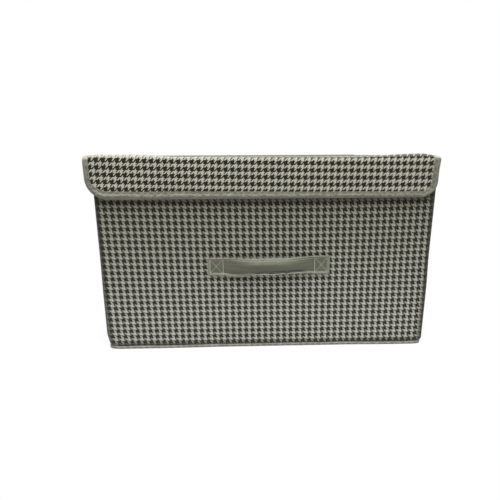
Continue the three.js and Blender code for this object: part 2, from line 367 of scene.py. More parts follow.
@dataclass
class WallLay(Lay):
    """Cloth that goes round the four walls: X runs round from the front's middle, Y is up."""

    half_width: float = 210 * MM
    half_depth: float = 150 * MM
    radius: float = 7 * MM
    least_radius: float = 1 * MM

    @property
    def arc(self) -> float:
        """The length of a corner."""
        return math.pi / 2 * self.radius

    @property
    def front_end(self) -> float:
        """Where the front ends and its corner starts."""
        return self.half_width - self.radius

    @property
    def side_middle(self) -> float:
        """The middle of a side wall."""
        return self.front_end + self.arc + self.half_depth - self.radius

    @property
    def side_end(self) -> float:
        """Where a side wall ends and its rear corner starts."""
        return self.side_middle + self.half_depth - self.radius

    @property
    def half_round(self) -> float:
        """Half the way round, to the middle of the back."""
        return self.side_end + self.arc + self.front_end

    def corner_stations(self, low: float, high: float, step: float) -> np.ndarray:
        """Places round the walls, close together at corners and creases.

        Args:
            low: The first place.
            high: The last place.
            step: The usual distance between places.

        Returns:
            The places in rising order.
        """
        marks = [0.0]
        for side in (-1, 1):
            for start in (self.front_end, self.side_end):
                marks += list(side * np.linspace(start, start + self.arc, 9))
            marks += list(side * (self.side_middle + np.linspace(-6 * MM, 6 * MM, 13)))
        marks = [mark for mark in marks if low < mark < high]
        plain = [p for p in stations(low, high, step) if all(abs(p - m) > step / 3 for m in marks)]
        return np.array(sorted({low, high, *marks, *plain}))

    def carry(self, flat: np.ndarray) -> np.ndarray:
        """Where places of the flat cloth end up round the walls.

        Args:
            flat: The places, one in each row.

        Returns:
            The same places on the box.
        """
        place = flat[:, 0]
        place = np.where(place > self.half_round, place - 2 * self.half_round, place)
        length, side = np.abs(place), np.sign(place)
        core_x, core_y = self.half_width - self.radius, self.half_depth - self.radius
        on_front = length < self.front_end
        first = np.clip((length - self.front_end) / self.radius, 0, math.pi / 2)
        second = np.clip((length - self.side_end) / self.radius, 0, math.pi / 2)
        turned = first + second
        normal_x, normal_y = np.sin(turned), -np.cos(turned)
        beyond = length - self.side_end - self.arc
        base_x = np.where(on_front, length, np.where(beyond > 0, core_x - beyond, self.half_width))
        along_side = length - self.front_end - self.arc - core_y
        base_y = np.where(length < self.front_end + self.arc, -self.half_depth, along_side)
        base_y = np.where(length > self.side_end, self.half_depth, base_y)
        depth = -flat[:, 2]
        radius = np.maximum(self.radius - depth, self.least_radius)
        reach_x, reach_y = self.half_width - depth - radius, self.half_depth - depth - radius
        x = np.clip(base_x, -reach_x, reach_x) + radius * normal_x
        y = np.clip(base_y, -reach_y, reach_y) + radius * normal_y
        x = np.where(on_front & (depth <= self.radius - self.least_radius), base_x, x)
        return np.stack([x * np.where(side < 0, -1, 1), y, flat[:, 1]], axis=1)


@dataclass(frozen=True)
class FoldEnd:
    """How one end of the lid's fold swells up and then falls, by the distance from its middle."""

    rise: float
    rise_from: float
    rise_to: float
    drop: float
    drop_from: float
    drop_to: float = 216 * MM


@dataclass
class LidLay(Lay):
    """Cloth that lies on the lid and runs over its front fold down the flap: Y falls forwards."""

    fold_y: float = -153.4 * MM
    fold_z: float = 243.9 * MM
    radius: float = 5 * MM
    middle_x: float = -4.2 * MM
    ridge: float = 0.5 * MM
    ridge_lean: float = 1.2 * MM
    ridge_shift: float = 0.5 * MM
    half_width: float = 210 * MM
    ends: tuple[FoldEnd, FoldEnd] = (
        FoldEnd(2.3 * MM, 100 * MM, 158 * MM, 2.2 * MM, 196 * MM),
        FoldEnd(3.8 * MM, 98 * MM, 194 * MM, 4.2 * MM, 190 * MM),
    )
    ridge_back: float = 10 * MM
    ridge_front: float = 7 * MM
    spread: float = 1.0 * MM
    spread_left: float = 90 * MM
    spread_right: float = 16 * MM
    spread_from: float = 170 * MM
    spread_to: float = 210 * MM

    def swelling(self, x: np.ndarray, y: np.ndarray) -> np.ndarray:
        """How far the whole lid swells up where it starts to turn down, mostly near its ends.

        Args:
            x: Places across the lid.
            y: Places along the flat cloth.

        Returns:
            The height of the swelling.
        """
        off = y - self.fold_y - self.ridge_shift
        share = np.where(off > 0, off / self.ridge_back, -off / self.ridge_front)
        off_middle = x - self.middle_x
        height = self.ridge - self.ridge_lean * off_middle / self.half_width
        for place, end in zip((-off_middle, off_middle), self.ends):
            height = height + end.rise * smooth(place, end.rise_from, end.rise_to)
            height = height - end.drop * smooth(place, end.drop_from, end.drop_to)
        return height * (1 + np.cos(math.pi * np.clip(share, 0, 1))) / 2

    def spreading(self, x: np.ndarray, y: np.ndarray) -> np.ndarray:
        """How far the ends of the fold stand out sideways.

        Args:
            x: Places across the lid.
            y: Places along the flat cloth.

        Returns:
            The shift along X.
        """
        off_middle = x - self.middle_x
        off_fold = y - self.fold_y + self.fold_length / 2
        on_left = (off_middle < 0) & (off_fold < 0)
        reach = np.where(on_left, self.spread_left, self.spread_right)
        at_fold = smooth(np.abs(off_fold), reach, 2 * MM)
        at_end = smooth(np.abs(off_middle), self.spread_from, self.spread_to)
        return self.spread * np.sign(off_middle) * at_fold * at_end

    @property
    def fold_length(self) -> float:
        """How much cloth the fold takes."""
        return math.pi / 2 * self.radius

    def flat_y(self, height: float) -> float:
        """The place in the flat cloth of a height on the flap."""
        return self.fold_y - self.fold_length - (self.fold_z - height)

    def carry(self, flat: np.ndarray) -> np.ndarray:
        """Where places of the flat cloth end up on the lid and flap.

        Args:
            flat: The places, one in each row.

        Returns:
            The same places on the box.
        """
        radius = self.radius + flat[:, 2] + self.swelling(flat[:, 0], flat[:, 1])
        past = self.fold_y - flat[:, 1]
        angle = np.clip(past / self.radius, 0, math.pi / 2)
        bend = np.maximum(radius, 0)
        inner = np.minimum(radius, 0)
        y = self.fold_y - bend * np.sin(angle) - inner
        z = self.fold_z + bend * np.cos(angle) + inner
        y = np.where(past < 0, np.maximum(flat[:, 1], self.fold_y - inner), y)
        z = np.where(past < 0, self.fold_z + radius, z)
        below = past - self.fold_length
        z = np.where(below > 0, np.minimum(self.fold_z - below, self.fold_z + inner), z)
        y = np.where(below > 0, self.fold_y - radius, y)
        x = flat[:, 0] + self.spreading(flat[:, 0], flat[:, 1])
        return np.stack([x, y, z], axis=1)


@dataclass
class StrapLay(Lay):
    """The pull strap: X along it from its middle, Y across it, Z away from the wall."""

    centre_x: float = 3.1 * MM
    centre_z: float = 113.5 * MM
    seat_y: float = -151.8 * MM
    length: float = 156 * MM
    width: float = 25 * MM
    sewn: float = 19.5 * MM
    bow: float = 5.5 * MM
    ramp_share: float = 0.3
    arch: float = 7 * MM
    arch_top: float = 0.35
    fullness: float = 0.94
    taper: float = 0.03
    narrowing: float = 0.15
    lift: float = 0.6 * MM
    slope: float = 0.006
    sag: float = 2.6 * MM
    sag_x: float = -40 * MM
    sag_reach: float = 27 * MM
    tuck: float = 1.2 * MM
    tuck_x: float = 36 * MM
    tuck_reach: float = 37 * MM
    drop_from_share: float = 0.2

    def rise(self, x: np.ndarray) -> np.ndarray:
        """How far the strap stands off the wall, as a share of its bow.

        Args:
            x: Places along the strap.

        Returns:
            The share at each place.
        """
        from_seam = self.length / 2 - np.abs(x) - self.sewn
        return smooth(from_seam, 0, (self.length - 2 * self.sewn) * self.ramp_share)

    def carry(self, flat: np.ndarray) -> np.ndarray:
        """Where places of the flat strap end up on the front.

        Args:
            flat: The places, one in each row.

        Returns:
            The same places on the box.
        """
        x, across, out = flat.T
        rise = self.rise(x)
        share = 2 * across / self.width
        drop = np.zeros_like(x)
        for depth, middle, reach in (
            (self.sag, self.sag_x, self.sag_reach),
            (-self.tuck, self.tuck_x, self.tuck_reach),
        ):
            hump = np.cos(np.clip((x - middle) / reach, -1, 1) * math.pi) / 2 + 0.5
            drop = drop + hump * depth * smooth(share, self.drop_from_share, -1)
        bend = share - self.arch_top
        reach = np.where(bend > 0, 1 - self.arch_top, 1 + self.arch_top)
        arch = self.arch * rise * (1 - (bend / reach) ** 2)
        tilt = -2 * self.arch * rise * bend / reach**2 / (self.width / 2)
        steep = np.sqrt(1 + tilt**2)
        y = self.seat_y - self.bow * rise - arch - out / steep
        width = self.fullness + self.taper * 2 * x / self.length - self.narrowing * rise
        z = self.centre_z + across * width + self.lift * rise - out * tilt / steep
        return np.stack([x + self.centre_x, y, z + self.slope * x - drop], axis=1)


# Meshes


def placed(name: str, data: bpy.types.ID) -> Piece:
    """Puts an object into the scene.

    Args:
        name: Its name.
        data: Its mesh, lamp or camera.

    Returns:
        The object.
    """
    thing = bpy.data.objects.new(name, data)
    bpy.context.scene.collection.objects.link(thing)
    return thing


def map_uv(maker: bmesh.types.BMesh, name: str, pairs: list[tuple[float, float]]) -> None:
    """Gives a bmesh a UV map.

    Args:
        maker: The bmesh, whose vertices are numbered.
        name: The map's name.
        pairs: The UV of each vertex.
    """
    layer = maker.loops.layers.uv.new(name)
    for face in maker.faces:
        for loop in face.loops:
            loop[layer].uv = pairs[loop.vert.index]


def finished(
    maker: bmesh.types.BMesh, name: str, slot: Slot, finish: "Finish | None" = None
) -> Piece:
    """Turns a bmesh into a smooth-shaded piece with its finish.

    Args:
        maker: The bmesh, which is used up.
        name: The piece's name.
        slot: The record's finish that it takes its colour from.
        finish: What it is dressed in, if that isn't the slot's usual finish.

    Returns:
        The piece.
    """
    mesh = bpy.data.meshes.new(name)
    maker.to_mesh(mesh)
    maker.free()
    mesh.shade_smooth()
    piece = placed(name, mesh)
    mesh.materials.append(material_of(finish or FINISHES[slot]))
    return piece


def thickened(piece: Piece, thickness: float) -> Piece:
    """Gives a sheet its thickness, behind its face.

    Args:
        piece: The sheet.
        thickness: How thick it becomes, in metres.

    Returns:
        The same piece with a closed mesh.
    """
    modifier = piece.modifiers.new("thickness", "SOLIDIFY")
    modifier.thickness = thickness
    modifier.offset = -1
    graph = bpy.context.evaluated_depsgraph_get()
    settled = bpy.data.meshes.new_from_object(piece.evaluated_get(graph))
    piece.modifiers.clear()
    settled.name = piece.name
    piece.data = settled
    return piece


def grid(flat: np.ndarray, chart: np.ndarray, lay: Lay) -> bmesh.types.BMesh:
    """A grid of faces, moved onto the box, with two UV maps: its chart and its place in the cloth.

    Args:
        flat: Its places in the flat cloth, by row and column.
        chart: The UV of each place, in metres.
        lay: How the cloth lies.

    Returns:
        The bmesh.
    """
    rows, columns = flat.shape[:2]
    maker = bmesh.new()
    bmesh.ops.create_grid(maker, x_segments=columns - 1, y_segments=rows - 1, size=1)
    maker.verts.ensure_lookup_table()
    places = np.array([vertex.co for vertex in maker.verts])
    column = np.rint((places[:, 0] + 1) / 2 * (columns - 1)).astype(int)
    row = np.rint((places[:, 1] + 1) / 2 * (rows - 1)).astype(int)
    cut = flat[row, column]
    for vertex, place in zip(maker.verts, lay.carry(cut)):
        vertex.co = place
    map_uv(maker, "Flat", chart[row, column].tolist())
    map_uv(maker, "Cut", cut[:, :2].tolist())
    return maker


def band(
    name: str,
    slot: Slot,
    lay: Lay,
    line: Outline,
    rings: np.ndarray,
    finish: "Finish | None" = None,
) -> Piece:
    """A tape that follows a line, with a section that may change on the way.

    Args:
        name: The piece's name.
        slot: The record's finish that it takes its colour from.
        lay: How the cloth lies on the box.
        line: The line it follows.
        rings: At each place of the line, the section's points as distances out of the cloth and
            out of its face; the last point of a section is its first again.
        finish: What it is dressed in, if that isn't the slot's usual finish.

    Returns:
        The piece.
    """
    sideways = rings[..., :1] * line.out[:, None] + line.points[:, None]
    flat = np.concatenate([sideways, rings[..., 1:]], axis=2)
    steps = np.linalg.norm(np.diff(rings, axis=1), axis=2)
    around = np.pad(np.cumsum(steps, axis=1), ((0, 0), (1, 0)))
    chart = np.dstack([np.broadcast_to(line.along[:, None], around.shape), around])
    maker = grid(flat.transpose(1, 0, 2), chart.transpose(1, 0, 2), lay)
    bmesh.ops.remove_doubles(maker, verts=maker.verts, dist=0.001 * MM)
    bmesh.ops.recalc_face_normals(maker, faces=maker.faces)
    return finished(maker, name, slot, finish)


def stitches(
    name: str,
    slot: Slot,
    lay: Lay,
    places: np.ndarray,
    ways: np.ndarray,
    height: float | np.ndarray,
    width: float = 0.65 * MM,
) -> Piece:
    """Rows of sewing thread, one small bead of thread for each stitch.

    Args:
        name: The piece's name.
        slot: The record's finish of the cloth it is sewn through.
        lay: How that cloth lies on the box.
        places: The middle of each stitch in the flat cloth.
        ways: The direction of each.
        height: How high above the cloth's face the stitches lie.
        width: The width of the thread.

    Returns:
        The piece.
    """
    bead_maker = bmesh.new()
    bmesh.ops.create_uvsphere(bead_maker, u_segments=6, v_segments=4, radius=1)
    bead = bpy.data.meshes.new("bead")
    bead_maker.to_mesh(bead)
    bead_maker.free()
    maker = bmesh.new()
    for _ in places:
        maker.from_mesh(bead)
    round_bead = np.array([vertex.co for vertex in bead.vertices])
    bpy.data.meshes.remove(bead)
    along, across, up = (round_bead * (STITCH_LENGTH / 2, width / 2, width * 0.4)).T
    way_x, way_y = (ways / np.linalg.norm(ways, axis=1, keepdims=True)).T
    x = places[:, :1] + (np.outer(way_x, along) - np.outer(way_y, across))
    y = places[:, 1:] + (np.outer(way_y, along) + np.outer(way_x, across))
    z = np.broadcast_to(height, len(places))[:, None] + up
    for vertex, place in zip(maker.verts, lay.carry(np.dstack([x, y, z]).reshape(-1, 3))):
        vertex.co = place
    pale = slot in (Slot.STRAP, Slot.FASTENER)
    thread = ThreadFinish() if pale else ThreadFinish("tape_thread", TAPE_THREAD, TAPE_THREAD_DEEP)
    return finished(maker, name, slot, thread)


def sewn_through(
    name: str, lay: Lay, places: np.ndarray, ways: np.ndarray, height: float | np.ndarray
) -> list[Piece]:
    """The stitches of a folded tape, on its outer and inner face.

    Args:
        name: How the two pieces' names start.
        lay: How the cloth lies on the box.
        places: The middle of each stitch in the flat cloth.
        ways: The direction of each.
        height: How high the stitches lie on either face.

    Returns:
        The two pieces.
    """
    return [
        stitches(f"{name}_{side}", Slot.TAPE, lay, places, ways, up)
        for side, up in (("outside", height), ("inside", -PANEL - height))
    ]


def plate(
    name: str, slot: Slot, line: Outline, low: float, high: float, bevel: float
) -> Piece:
    """A flat plate with soft edges, standing in X and Z.

    Args:
        name: The piece's name.
        slot: The record's finish that it takes its colour from.
        line: Its closed outline in X and Z.
        low: Its nearer face in Y.
        high: Its farther face in Y.
        bevel: The radius of its edges.

    Returns:
        The piece.
    """
    maker = bmesh.new()
    corners = [maker.verts.new((x, high, z)) for x, z in line.points[:-1]]
    face = maker.faces.new(corners)
    grown = bmesh.ops.extrude_face_region(maker, geom=[face])["geom"]
    raised = [item for item in grown if isinstance(item, bmesh.types.BMVert)]
    bmesh.ops.translate(maker, vec=(0, low - high, 0), verts=raised)
    rim = [edge for edge in maker.edges if all(v in set(raised) for v in edge.verts)]
    bmesh.ops.bevel(
        maker, geom=rim, offset=bevel, segments=3, affect="EDGES", profile=0.5, material=-1
    )
    bmesh.ops.recalc_face_normals(maker, faces=maker.faces)
    maker.verts.index_update()
    map_uv(maker, "Flat", [(vertex.co.x, vertex.co.z) for vertex in maker.verts])
    return finished(maker, name, slot)


# Finishes


def colour(red: int, green: int, blue: int) -> tuple[float, float, float, float]:
    """A colour as it looks on a screen, turned into the light it stands for.

    Args:
        red: From 0 to 255.
        green: From 0 to 255.
        blue: From 0 to 255.

    Returns:
        The linear colour, with full opacity.
    """
    shares = [part / 255 for part in (red, green, blue)]
    bright = [((share + 0.055) / 1.055) ** 2.4 for share in shares]
    linear = [high if share > 0.04045 else share / 12.92 for share, high in zip(shares, bright)]
    return (*linear, 1.0)


def operator(operation: str, flipped: bool = False) -> Callable[..., "Shade"]:
    """A method of Shade that adds a Math node.

    Args:
        operation: Which one.
        flipped: Whether the shade goes in after the other value.

    Returns:
        The method.
    """

    def method(shade: "Shade", *others: "Shade | float") -> "Shade":
        """What comes out of the node."""
        values = (*others, shade) if flipped else (shade, *others)
        return shade.paint.node("ShaderNodeMath", {"operation": operation}, dict(enumerate(values)))

    return method


class Shade:
    """A number or colour that shader nodes work out, for use in plain expressions."""

    def __init__(self, paint: "NodeTree", node: bpy.types.Node, output: int | str) -> None:
        """Wraps an output of one of the paint's nodes."""
        self.paint = paint
        self.made_by = node
        self.output = output

    @property
    def socket(self) -> bpy.types.NodeSocket:
        """The output itself."""
        return self.made_by.outputs[self.output]

    __add__ = operator("ADD")
    __radd__ = operator("ADD", flipped=True)
    __sub__ = operator("SUBTRACT")
    __rsub__ = operator("SUBTRACT", flipped=True)
    __mul__ = operator("MULTIPLY")
    __rmul__ = operator("MULTIPLY", flipped=True)
    __truediv__ = operator("DIVIDE")
    __lt__ = operator("LESS_THAN")
    __gt__ = operator("GREATER_THAN")
    __abs__ = operator("ABSOLUTE")
    fraction = operator("FRACT")
    larger = operator("MAXIMUM")
    root = operator("SQRT")

    def between(self, low: float, high: float) -> "Shade":
        """Rises smoothly from 0 at low to 1 at high.

        Args:
            low: Where the rise starts.
            high: Where it ends.

        Returns:
            The height of the rise.
        """
        return self.paint.node(
            "ShaderNodeMapRange",
            {"interpolation_type": "SMOOTHSTEP"},
            {"Value": self, "From Min": low, "From Max": high},
        )

    def mix(self, low: "Shade | tuple", high: "Shade | tuple") -> "Shade":
        """A colour between two, with this as the share of the second.

        Args:
            low: The colour at 0.
            high: The colour at 1.

        Returns:
            The colour.
        """
        values = {0: self, 6: low, 7: high}
        return self.paint.node("ShaderNodeMix", {"data_type": "RGBA"}, values, 2)


class NodeTree:
    """A tree of shader nodes, which starts out empty."""

    def __init__(self, owner: bpy.types.Material | bpy.types.World) -> None:
        """Empties the owner's tree.

        Args:
            owner: What the nodes belong to.
        """
        owner.use_nodes = True
        self.tree = owner.node_tree
        self.tree.nodes.clear()

    def node(
        self,
        kind: str,
        settings: dict[str, object] | None = None,
        values: "dict[str | int, Shade | float | tuple] | None" = None,
        output: int | str = 0,
    ) -> Shade:
        """Adds a node.

        Args:
            kind: Its type.
            settings: Its own settings, set first.
            values: The values or links of its sockets, by name or number.
            output: The socket that is passed on.

        Returns:
            That socket.
        """
        node = self.tree.nodes.new(kind)
        for key, value in (settings or {}).items():
            setattr(node, key, value)
        for key, value in (values or {}).items():
            if isinstance(value, Shade):
                self.tree.links.new(value.socket, node.inputs[key])
            else:
                node.inputs[key].default_value = value
        return Shade(self, node, output)

    def seen(self) -> Shade:
        """1 for the rays that show a thing, straight or in a reflection, and 0 for its light.

        Returns:
            The share.
        """
        camera = self.node("ShaderNodeLightPath", output="Is Camera Ray")
        glossy = Shade(self, camera.made_by, "Is Glossy Ray")
        through = Shade(self, camera.made_by, "Is Transmission Ray")
        return camera.larger(glossy).larger(through)


class Paint(NodeTree):
    """The nodes of one material."""

    def __init__(self, name: str) -> None:
        """Starts an empty material.

        Args:
            name: The material's name.
        """
        self.material = bpy.data.materials.new(name)
        super().__init__(self.material)

    def flat(self) -> Shade:
        """The place in the cloth's chart: its print, or along and around a tape, in metres."""
        return self.node("ShaderNodeUVMap", {"uv_map": "Flat"})

    def cut(self) -> Shade:
        """The place in the cloth as it was cut, in metres."""
        return self.node("ShaderNodeUVMap", {"uv_map": "Cut"})

    def place(self) -> Shade:
        """The place in the object, in metres."""
        return self.node("ShaderNodeTexCoord", output="Object")

    def parts(self, vector: Shade) -> tuple[Shade, Shade, Shade]:
        """The three numbers of a vector.

        Args:
            vector: The vector.

        Returns:
            Its X, Y and Z.
        """
        x = self.node("ShaderNodeSeparateXYZ", None, {0: vector})
        return x, Shade(self, x.made_by, 1), Shade(self, x.made_by, 2)

    def stretched(self, vector: Shade, scale: tuple[float, float, float]) -> Shade:
        """A vector with each part multiplied.

        Args:
            vector: The vector.
            scale: What its parts are multiplied by.

        Returns:
            The new vector.
        """
        values = {0: vector, 1: scale}
        return self.node("ShaderNodeVectorMath", {"operation": "MULTIPLY"}, values)

    def noise(self, vector: Shade, size: float, detail: float = 2, rough: float = 0.5) -> Shade:
        """Soft random blots.

        Args:
            vector: Where.
            size: How large the blots are, in metres.
            detail: How many finer layers are added.
            rough: How strong those are.

        Returns:
            A number from 0 to 1, mostly near 0.5.
        """
        values = {"Vector": vector, "Scale": 1 / size, "Detail": detail, "Roughness": rough}
        return self.node("ShaderNodeTexNoise", None, values)

    def dots(self, vector: Shade, pitch: float, loose: float = 0.0) -> Shade:
        """The distance from the nearest of many dots, as a share of their pitch.

        Args:
            vector: Where.
            pitch: How far apart the dots are, in metres.
            loose: How unevenly they lie, from 0 to 1.

        Returns:
            The distance.
        """
        values = {"Vector": vector, "Scale": 1 / pitch, "Randomness": loose}
        return self.node("ShaderNodeTexVoronoi", None, values)

    def embossed(self, vector: Shade, pitch: float) -> Shade:
        """The relief of a cloth pressed with small dots, from 0 to 1."""
        return self.dots(vector, pitch).between(0.2, 0.45)

    def surface(
        self,
        base: Shade,
        roughness: Shade,
        relief: Shade,
        depth: float,
        strength: float = 0.8,
        sheen: float = 0.1,
        gloss: float = 0.3,
    ) -> bpy.types.Material:
        """Ends the material with its shader.

        Args:
            base: The colour.
            roughness: How matt it is.
            relief: The height of its small relief, from 0 to 1.
            depth: How deep that relief is, in metres.
            strength: How much of it shows.
            sheen: How much fibre fuzz catches the light.
            gloss: How strongly it mirrors.

        Returns:
            The material.
        """
        heights = {"Height": relief, "Distance": depth, "Strength": strength}
        values = {
            "Base Color": base,
            "Roughness": roughness,
            "Normal": self.node("ShaderNodeBump", None, heights),
            "Specular IOR Level": gloss,
            "Sheen Weight": sheen,
            "Sheen Roughness": 0.5,
        }
        shader = self.node("ShaderNodeBsdfPrincipled", None, values)
        self.node("ShaderNodeOutputMaterial", None, {"Surface": shader})
        return self.material


class Finish:
    """What a piece is dressed in."""

    def make(self) -> bpy.types.Material:
        """Builds the material."""
        raise NotImplementedError


@functools.cache
def material_of(finish: Finish) -> bpy.types.Material:
    """The material of a finish, made once.

    Args:
        finish: The finish.

    Returns:
        Its material.
    """
    return finish.make()


@dataclass(frozen=True)
class PrintFinish(Finish):
    """Non-woven cloth with a dark houndstooth printed on a pale ground."""

    name: str = "printed_lid_cloth"
    dark: tuple = colour(31, 30, 20)
    dark_worn: tuple = colour(44, 43, 31)
    pale: tuple = colour(178, 177, 163)
    pale_dusty: tuple = colour(163, 162, 148)
    # The pale of rubbed cloth, also used for painted light: glare on the fold, a paler wall foot.
    rubbed_and_lit: tuple = colour(197, 193, 181)
    twill_shift: float = 0.409
    twill_share: float = 0.556
    shift: float = 0.2585
    dark_share: float = 0.585
    ragged: float = 0.03
    rub_and_glare: float = 0.4
    rub_and_glare_right: float = 0.2
    fold_low: float = -157.4 * MM
    fold_high: float = -155.4 * MM
    fold_back: float = -144 * MM

    def aged_and_lit(self, paint: Paint, printed: Shade, fibres: Shade) -> Shade:
        """The print with painted glare along the fold of the lid, where it is also rubbed pale.

        Args:
            paint: The material's nodes.
            printed: The fresh print.
            fibres: The fibres of the cloth, which make the rub and glare uneven.

        Returns:
            The colour.
        """
        x, y, _ = paint.parts(paint.cut())
        fold = y.between(self.fold_low, self.fold_high)
        front = (self.fold_back - y).between(0, 6 * MM)
        rub_and_glare = self.rub_and_glare - x.between(80 * MM, 190 * MM) * self.rub_and_glare_right
        # Painted glare: the print turns pale along the fold, as light glancing off it, and is
        # rubbed there too.
        worn_and_lit = fold * front * (rub_and_glare + (fibres - 0.5) * 1.0)
        return worn_and_lit.mix(printed, self.rubbed_and_lit)

    def ground(self, paint: Paint, blots: Shade) -> Shade:
        """The colour of the cloth between the printed checks.

        Args:
            paint: The material's nodes.
            blots: Its uneven dust, from 0 to 1.

        Returns:
            The colour.
        """
        return blots.between(0.3, 0.7).mix(self.pale_dusty, self.pale)

    def make(self) -> bpy.types.Material:
        """Builds the material."""
        paint = Paint(self.name)
        flat = paint.flat()
        edge = paint.noise(flat, 0.9 * MM, 2, 0.6) - 0.5
        along, across, _ = paint.parts(flat)
        u = along / REPEAT - self.shift + edge * (2 * self.ragged)
        v = across / REPEAT - self.shift - edge * (2 * self.ragged)
        twill = ((u + v) * 2 + self.twill_shift).fraction() < self.twill_share
        half = self.dark_share / 2
        dark_u = abs((u + 0.25).fraction() - 0.5) < half
        dark_v = abs((v + 0.25).fraction() - 0.5) < half
        mask = twill * dark_u + (1 - twill) * dark_v
        fibres = paint.noise(paint.stretched(flat, (1, 0.35, 1)), 0.35 * MM, 3, 0.65)
        speckle = paint.noise(flat, 0.5 * MM, 2, 0.7)
        cloudy = paint.noise(flat, 38 * MM, 2, 0.5)
        ink = speckle.between(0.52, 0.78).mix(self.dark, self.dark_worn)
        printed = mask.mix(self.ground(paint, cloudy * 0.5 + fibres * 0.5), ink)
        base = self.aged_and_lit(paint, printed, fibres)
        relief = paint.embossed(flat, 0.9 * MM) * 0.6 + fibres * 0.5 + mask * 0.12
        rough = 0.8 + fibres * 0.15
        return paint.surface(base, rough, relief, 0.12 * MM, sheen=0.06, gloss=0.15)


@dataclass(frozen=True)
class WallPrintFinish(PrintFinish):
    """The same cloth on the walls: painted shade under the lid, painted light at the foot."""

    name: str = "printed_wall_cloth"
    dark: tuple = colour(37, 36, 26)
    # The next two colours are painted shade near the top of the walls and painted light near the
    # foot.
    top_painted_shade: tuple = colour(141, 140, 127)
    foot_painted_light: tuple = colour(173, 173, 164)
    shaded: tuple = colour(116, 115, 103)
    shade_low: float = 186 * MM
    # Painted shade at the foot seam and at the upright corners.
    painted_shade: tuple = colour(43, 38, 31)
    # Painted shade in the groove above the foot tape: its colour, top height and share.
    groove_shade: tuple = colour(58, 58, 51)
    groove_shade_high: float = 14 * MM
    groove_shade_share: float = 0.34
    light_ramp_low: float = 10 * MM
    light_ramp_high: float = 200 * MM
    foot_light_rub: float = 0.02
    seam: float = 7.2 * MM
    corner_x: float = 203.5 * MM
    corner_y: float = 140 * MM
    seam_shade_share: float = 0.75
    corner_shade_share: float = 0.7

    def aged_and_lit(self, paint: Paint, printed: Shade, fibres: Shade) -> Shade:
        """The print, painted a little paler at the foot, with painted shade at groove, seam and
        corners.

        Args:
            paint: The material's nodes.
            printed: The fresh print.
            fibres: The fibres of the cloth, which make the paler rub uneven.

        Returns:
            The colour.
        """
        x, y, z = paint.parts(paint.place())
        # Painted light: the print is rubbed a little paler towards the foot.
        low = (self.light_ramp_high - z).between(0, self.light_ramp_high - self.light_ramp_low)
        worn_and_lit = (low * (fibres * self.foot_light_rub)).mix(printed, self.rubbed_and_lit)
        # Painted shade in the groove where the cloth tucks in above the foot tape.
        groove_shaded = (self.groove_shade_high - z).between(0, 7 * MM)
        worn_and_lit = (groove_shaded * self.groove_shade_share).mix(worn_and_lit, self.groove_shade)
        # Painted shade at the foot seam and at the upright corners, where the cloth turns from the
        # light.
        corner_x = (abs(x) - self.corner_x).between(0, 3.5 * MM)
        corner_y = (abs(y) - self.corner_y).between(0, 4 * MM)
        seam = (self.seam - z).between(0, 2 * MM)
        corner = corner_x * corner_y * self.corner_shade_share
        painted_shade_mask = (seam * self.seam_shade_share).larger(corner)
        return painted_shade_mask.mix(worn_and_lit, self.painted_shade)

    def ground(self, paint: Paint, blots: Shade) -> Shade:
        """The colour between the printed checks: painted light at the foot, painted shade at the
        top.

        Args:
            paint: The material's nodes.
            blots: Its uneven dust, from 0 to 1.

        Returns:
            The colour.
        """
        _, _, z = paint.parts(paint.place())
        # Painted light and shade: paler towards the foot, darker towards the top of the walls.
        high = (z - self.light_ramp_low).between(0, self.light_ramp_high - self.light_ramp_low)
        plain = (high * 0.8 + blots * 0.2).mix(self.foot_painted_light, self.top_painted_shade)
        # Painted shadow under the flap: the cloth darkens from 186 mm up.
        return (z - self.shade_low).between(0, 14 * MM).mix(plain, self.shaded)


